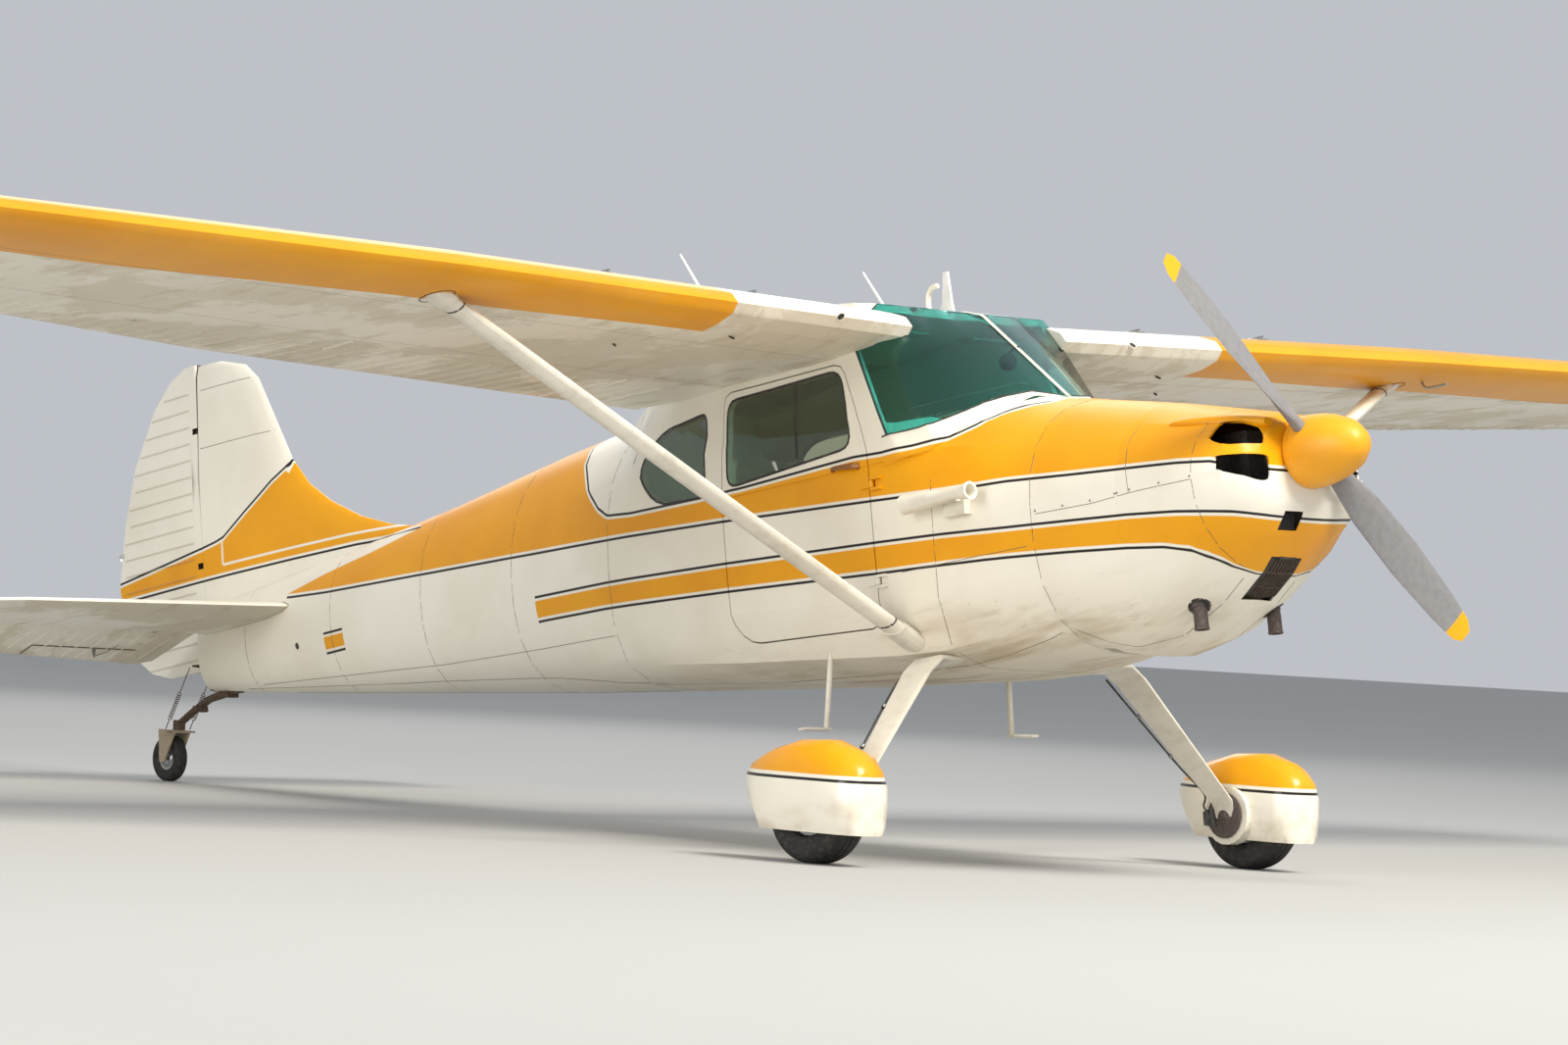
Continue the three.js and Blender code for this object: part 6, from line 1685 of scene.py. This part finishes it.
# Cabin: dials, radio faces, compass, visors and padded seats
panel = {
    "faceX": -19.12,
    "dials": [(13.6, 12.0, 1.55), (9.9, 12.4, 1.55), (6.2, 12.4, 1.55), (14.4, 8.2, 1.55), (2.8, 9.8, 1.3),
              (2.8, 6.6, 1.1), (-6.4, 12.2, 1.1), (-9.2, 12.2, 1.1), (-12.0, 12.0, 1.1), (-14.6, 9.2, 1.1),
              (13.6, 4.4, 1.1), (5.4, 8.9, 1.2)],
    "bezel": [(0.86, -0.05), (1, -0.05), (1, 0.14), (0.93, 0.2), (0.86, 0.12)],  # share of the dial's radius
    "ticks": {"number": 12, "reach": (0.64, 0.8), "half": 0.05},
    "hand": {"first": 0.7, "next": 1.9, "reach": (-0.2, 0.62), "half": 0.07, "point": 0.3},
    "radios": [(-1.2, 11.2), (-1.2, 9.2), (-1.2, 7.2)],
    "radio": {"half": (2.9, 0.85), "deep": 0.35, "readout": (1.5, 0.3), "knobs": (-2.3, 2.3)},
    "radioKnob": [(0.02, 0), (0.32, 0), (0.26, 0.5), (0.02, 0.52)],
    "knobs": [(-3.6, 3.0), (-1.2, 3.0), (1.2, 3.0), (3.6, 3.0), (-6.0, 3.0)],
    "knob": [(0.02, 0), (0.16, 0), (0.16, 0.9), (0.45, 0.95), (0.45, 1.3), (0.02, 1.35)],
    "compass": (-20.4, 0.0, 23.2),
    "bowl": [(0.02, 0), (0.8, 0.05), (1.25, 0.5), (1.35, 1.2), (1.2, 1.9), (0.9, 2.2), (0.02, 2.25)],
    "bracket": [(-21.6, 0, 24.2), (-20.3, 0, 24.9), (-19.2, 0, 25.1)],
    "visors": [(4.2, 15.2), (-15.2, -4.2)],
    "visor": {"x": (-37.6, -33.2), "z": 29.5, "midX": -35.4, "slope": 0.08, "radius": 0.9, "thick": 0.34},
}


def makeDial(index, bezels, faces, marks):
    y, z, radius = panel["dials"][index]
    x, ticks, hand = panel["faceX"], panel["ticks"], panel["hand"]
    bezels.lathe((x, y, z), aft, [(radius * share, along) for share, along in panel["bezel"]], 28)
    inner = radius * 0.88
    faces.lathe((x, y, z), aft, [(0.02, -0.02), (inner, -0.02), (inner, 0.04), (0.02, 0.05)], 28)

    def mark(angle, front, reach, half, point, thick):  # a bar on the dial's face, pointing outward
        u = Vector((0, math.cos(angle), math.sin(angle)))
        v = Vector((0, -u.z, u.y)) * half
        near, far = (Vector((x - front, y, z)) + u * radius * share for share in reach)
        marks.slab([near - v, near + v, far + v * point, far - v * point], (-thick, 0, 0), 0.002)

    for a in turns(ticks["number"]):
        mark(a, 0.05, ticks["reach"], ticks["half"], 1, 0.02)
    mark(hand["first"] + hand["next"] * index, 0.06, hand["reach"], hand["half"], hand["point"], 0.03)


def makePanel():
    bezels, faces, marks, knobs, visors = Sketch(), Sketch(), Sketch(), Sketch(), Sketch()
    x, radio, visor = panel["faceX"], panel["radio"], panel["visor"]
    for index in range(len(panel["dials"])):
        makeDial(index, bezels, faces, marks)

    def block(sketch, at, y, z, half, depth, bevel):
        wide, high = half
        sketch.slab(plate(at, at, (y - wide, y + wide), (z - high, z + high)), (-depth, 0, 0), bevel)

    for y, z in panel["radios"]:
        block(bezels, x + 0.1, y, z, radio["half"], radio["deep"], 0.08)
        block(marks, x - 0.25, y, z, radio["readout"], 0.03, 0.005)
        for off in radio["knobs"]:
            knobs.lathe((x - 0.22, y + off, z), aft, panel["radioKnob"], 14)
    for y, z in panel["knobs"]:
        knobs.lathe((x, y, z), aft, panel["knob"], 14)
    knobs.lathe(panel["compass"], aft, panel["bowl"], 28)
    knobs.pipe(panel["bracket"], 0.22)
    rear, front = visor["x"]
    for inner, outer in panel["visors"]:
        flat = eased([(rear, inner), (rear, outer), (front, outer), (front, inner)], [visor["radius"]] * 4)
        loop = [(p.x, p.y, visor["z"] - (p.x - visor["midX"]) * visor["slope"]) for p in flat]
        visors.slab(loop, (0, 0, -visor["thick"]), 0.1)
    finish("panelBezels", bezels, panelGrey)
    finish("dialFaces", faces, dialBlack)
    finish("dialMarks", marks, dialWhite)
    finish("panelKnobs", knobs, blackTrimAndShade)
    finish("sunVisors", visors, seatCloth)


makePanel()
print("instrument panel made")

# Seats: each pad is blown up as cloth, then sewn into channels
seats = {
    "pads": [  # name, the solid it stands for, middle of the pad across, and which sizes it takes
        {"name": "leftFrontSeat", "node": "front_seat_left", "y": 9.3, "sizes": "front"},
        {"name": "rightFrontSeat", "node": "front_seat_right", "y": -9.3, "sizes": "front"},
        {"name": "rearSeat", "node": "rear_seat", "y": 0.0, "sizes": "rear"},
    ],
    "front": {"frontX": -34.9, "rearX": -48.6, "seatZ": -10.5, "half": 7.7, "backTop": (-54.7, 11.9),
              "backFoot": (-50.4, -9.6), "thick": 3.0},
    "rear": {"frontX": -68.9, "rearX": -81.0, "seatZ": -9.4, "half": 14.9, "backTop": (-85.3, 10.9),
             "backFoot": (-83.0, -8.6), "thick": 3.0},
    "corner": 1.1,
    "voxel": 0.009,
    "pressure": 4.0,
    "swell": 0.022,
    "frames": 20,
    "channel": {"gap": 2.6, "deep": 0.0055, "wide": 0.35, "ends": (0.9, 6), "edges": (0.93, 8)},
}


def padStart(name, centre, along, half):  # a rounded block a little smaller than the finished pad
    work = bmesh.new()
    bmesh.ops.create_cube(work, size=2)
    turn = Matrix((along.normalized(), leftAxis, along.cross(leftAxis).normalized())).transposed()
    for vertex in work.verts:
        local = Vector([a * b for a, b in zip(vertex.co, half)])
        vertex.co = air(*(centre + turn @ local))
    bmesh.ops.bevel(work, geom=work.edges[:], offset=seats["corner"] * inch, segments=4, profile=0.6,
                    affect="EDGES")
    mesh = bpy.data.meshes.new(name)
    work.to_mesh(mesh)
    work.free()
    return linkNew(name, mesh)


def baked(piece):  # the mesh as its modifiers leave it
    shaped = piece.evaluated_get(bpy.context.evaluated_depsgraph_get())
    return bpy.data.meshes.new_from_object(shaped)


def inflate(piece):
    settings = piece.modifiers.new("inflate", "CLOTH").settings
    settings.quality = 4
    settings.use_pressure = True
    settings.uniform_pressure_force = seats["pressure"]
    settings.effector_weights.gravity = 0


def sewPad(mesh, start, centre, along, half):  # eases the swelling and draws the channels in
    along, channel = along.normalized(), seats["channel"]
    rise = along.cross(leftAxis).normalized()
    for vertex, origin in zip(mesh.vertices, start):
        moved = vertex.co - origin
        vertex.co = origin + moved * min(1.0, seats["swell"] / max(moved.length, 1e-9))
    (endShare, endPower), (edgeShare, edgePower) = channel["ends"], channel["edges"]
    for vertex in mesh.vertices:
        spot = toAir(vertex.co) - centre
        u, v, w = spot.dot(along), spot.y, spot.dot(rise)
        off = abs((v / channel["gap"]) % 1 - 0.5) * channel["gap"]
        fade = max(0.0, 1 - (abs(u) / (half[0] * endShare)) ** endPower)
        fade *= max(0.0, 1 - (abs(v) / (half[1] * edgeShare)) ** edgePower)
        depth = channel["deep"] * math.exp(-(off / channel["wide"]) ** 2) * fade
        vertex.co -= (rise.x * forwardAxis + rise.z * upAxis) * (depth if w > 0 else -depth)
    for face in mesh.polygons:
        face.use_smooth = True


def makeSeats():
    pads = []
    for row in seats["pads"]:
        size, y = seats[row["sizes"]], row["y"]
        (footX, footZ), (topX, topZ) = size["backFoot"], size["backTop"]
        foot, top, ahead = Vector((footX, y, footZ)), Vector((topX, y, topZ)), Vector((1, 0, 0))
        middle = Vector(((size["frontX"] + size["rearX"]) / 2, y, size["seatZ"]))
        for part, centre, along, long in (
                ("Cushion", middle, ahead, (size["frontX"] - size["rearX"]) / 2 - 0.3),
                ("Back", (foot + top) / 2, top - foot, (top - foot).length / 2)):
            half = (long, size["half"], size["thick"] / 2)
            piece = padStart(row["name"] + part, centre, along, half)
            remesh = piece.modifiers.new("evenMesh", "REMESH")
            remesh.mode = "VOXEL"
            remesh.voxel_size = seats["voxel"]
            piece.data = baked(piece)
            piece.modifiers.clear()
            start = [vertex.co.copy() for vertex in piece.data.vertices]
            pads.append((piece, row["node"], start, centre, along, half))
            inflate(piece)
    for number in range(1, seats["frames"] + 1):
        bpy.context.scene.frame_set(number)
    for piece, node, start, centre, along, half in pads:
        mesh = baked(piece)
        piece.modifiers.clear()
        piece.data = mesh
        sewPad(mesh, start, centre, along, half)
        mesh.materials.clear()
        mesh.materials.append(seatCloth)
        smooth = piece.modifiers.new("smoothCloth", "SUBSURF")
        smooth.levels = 1
        smooth.render_levels = 1
        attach(piece, "airframe")
        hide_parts(node)


makeSeats()
print("seats made")
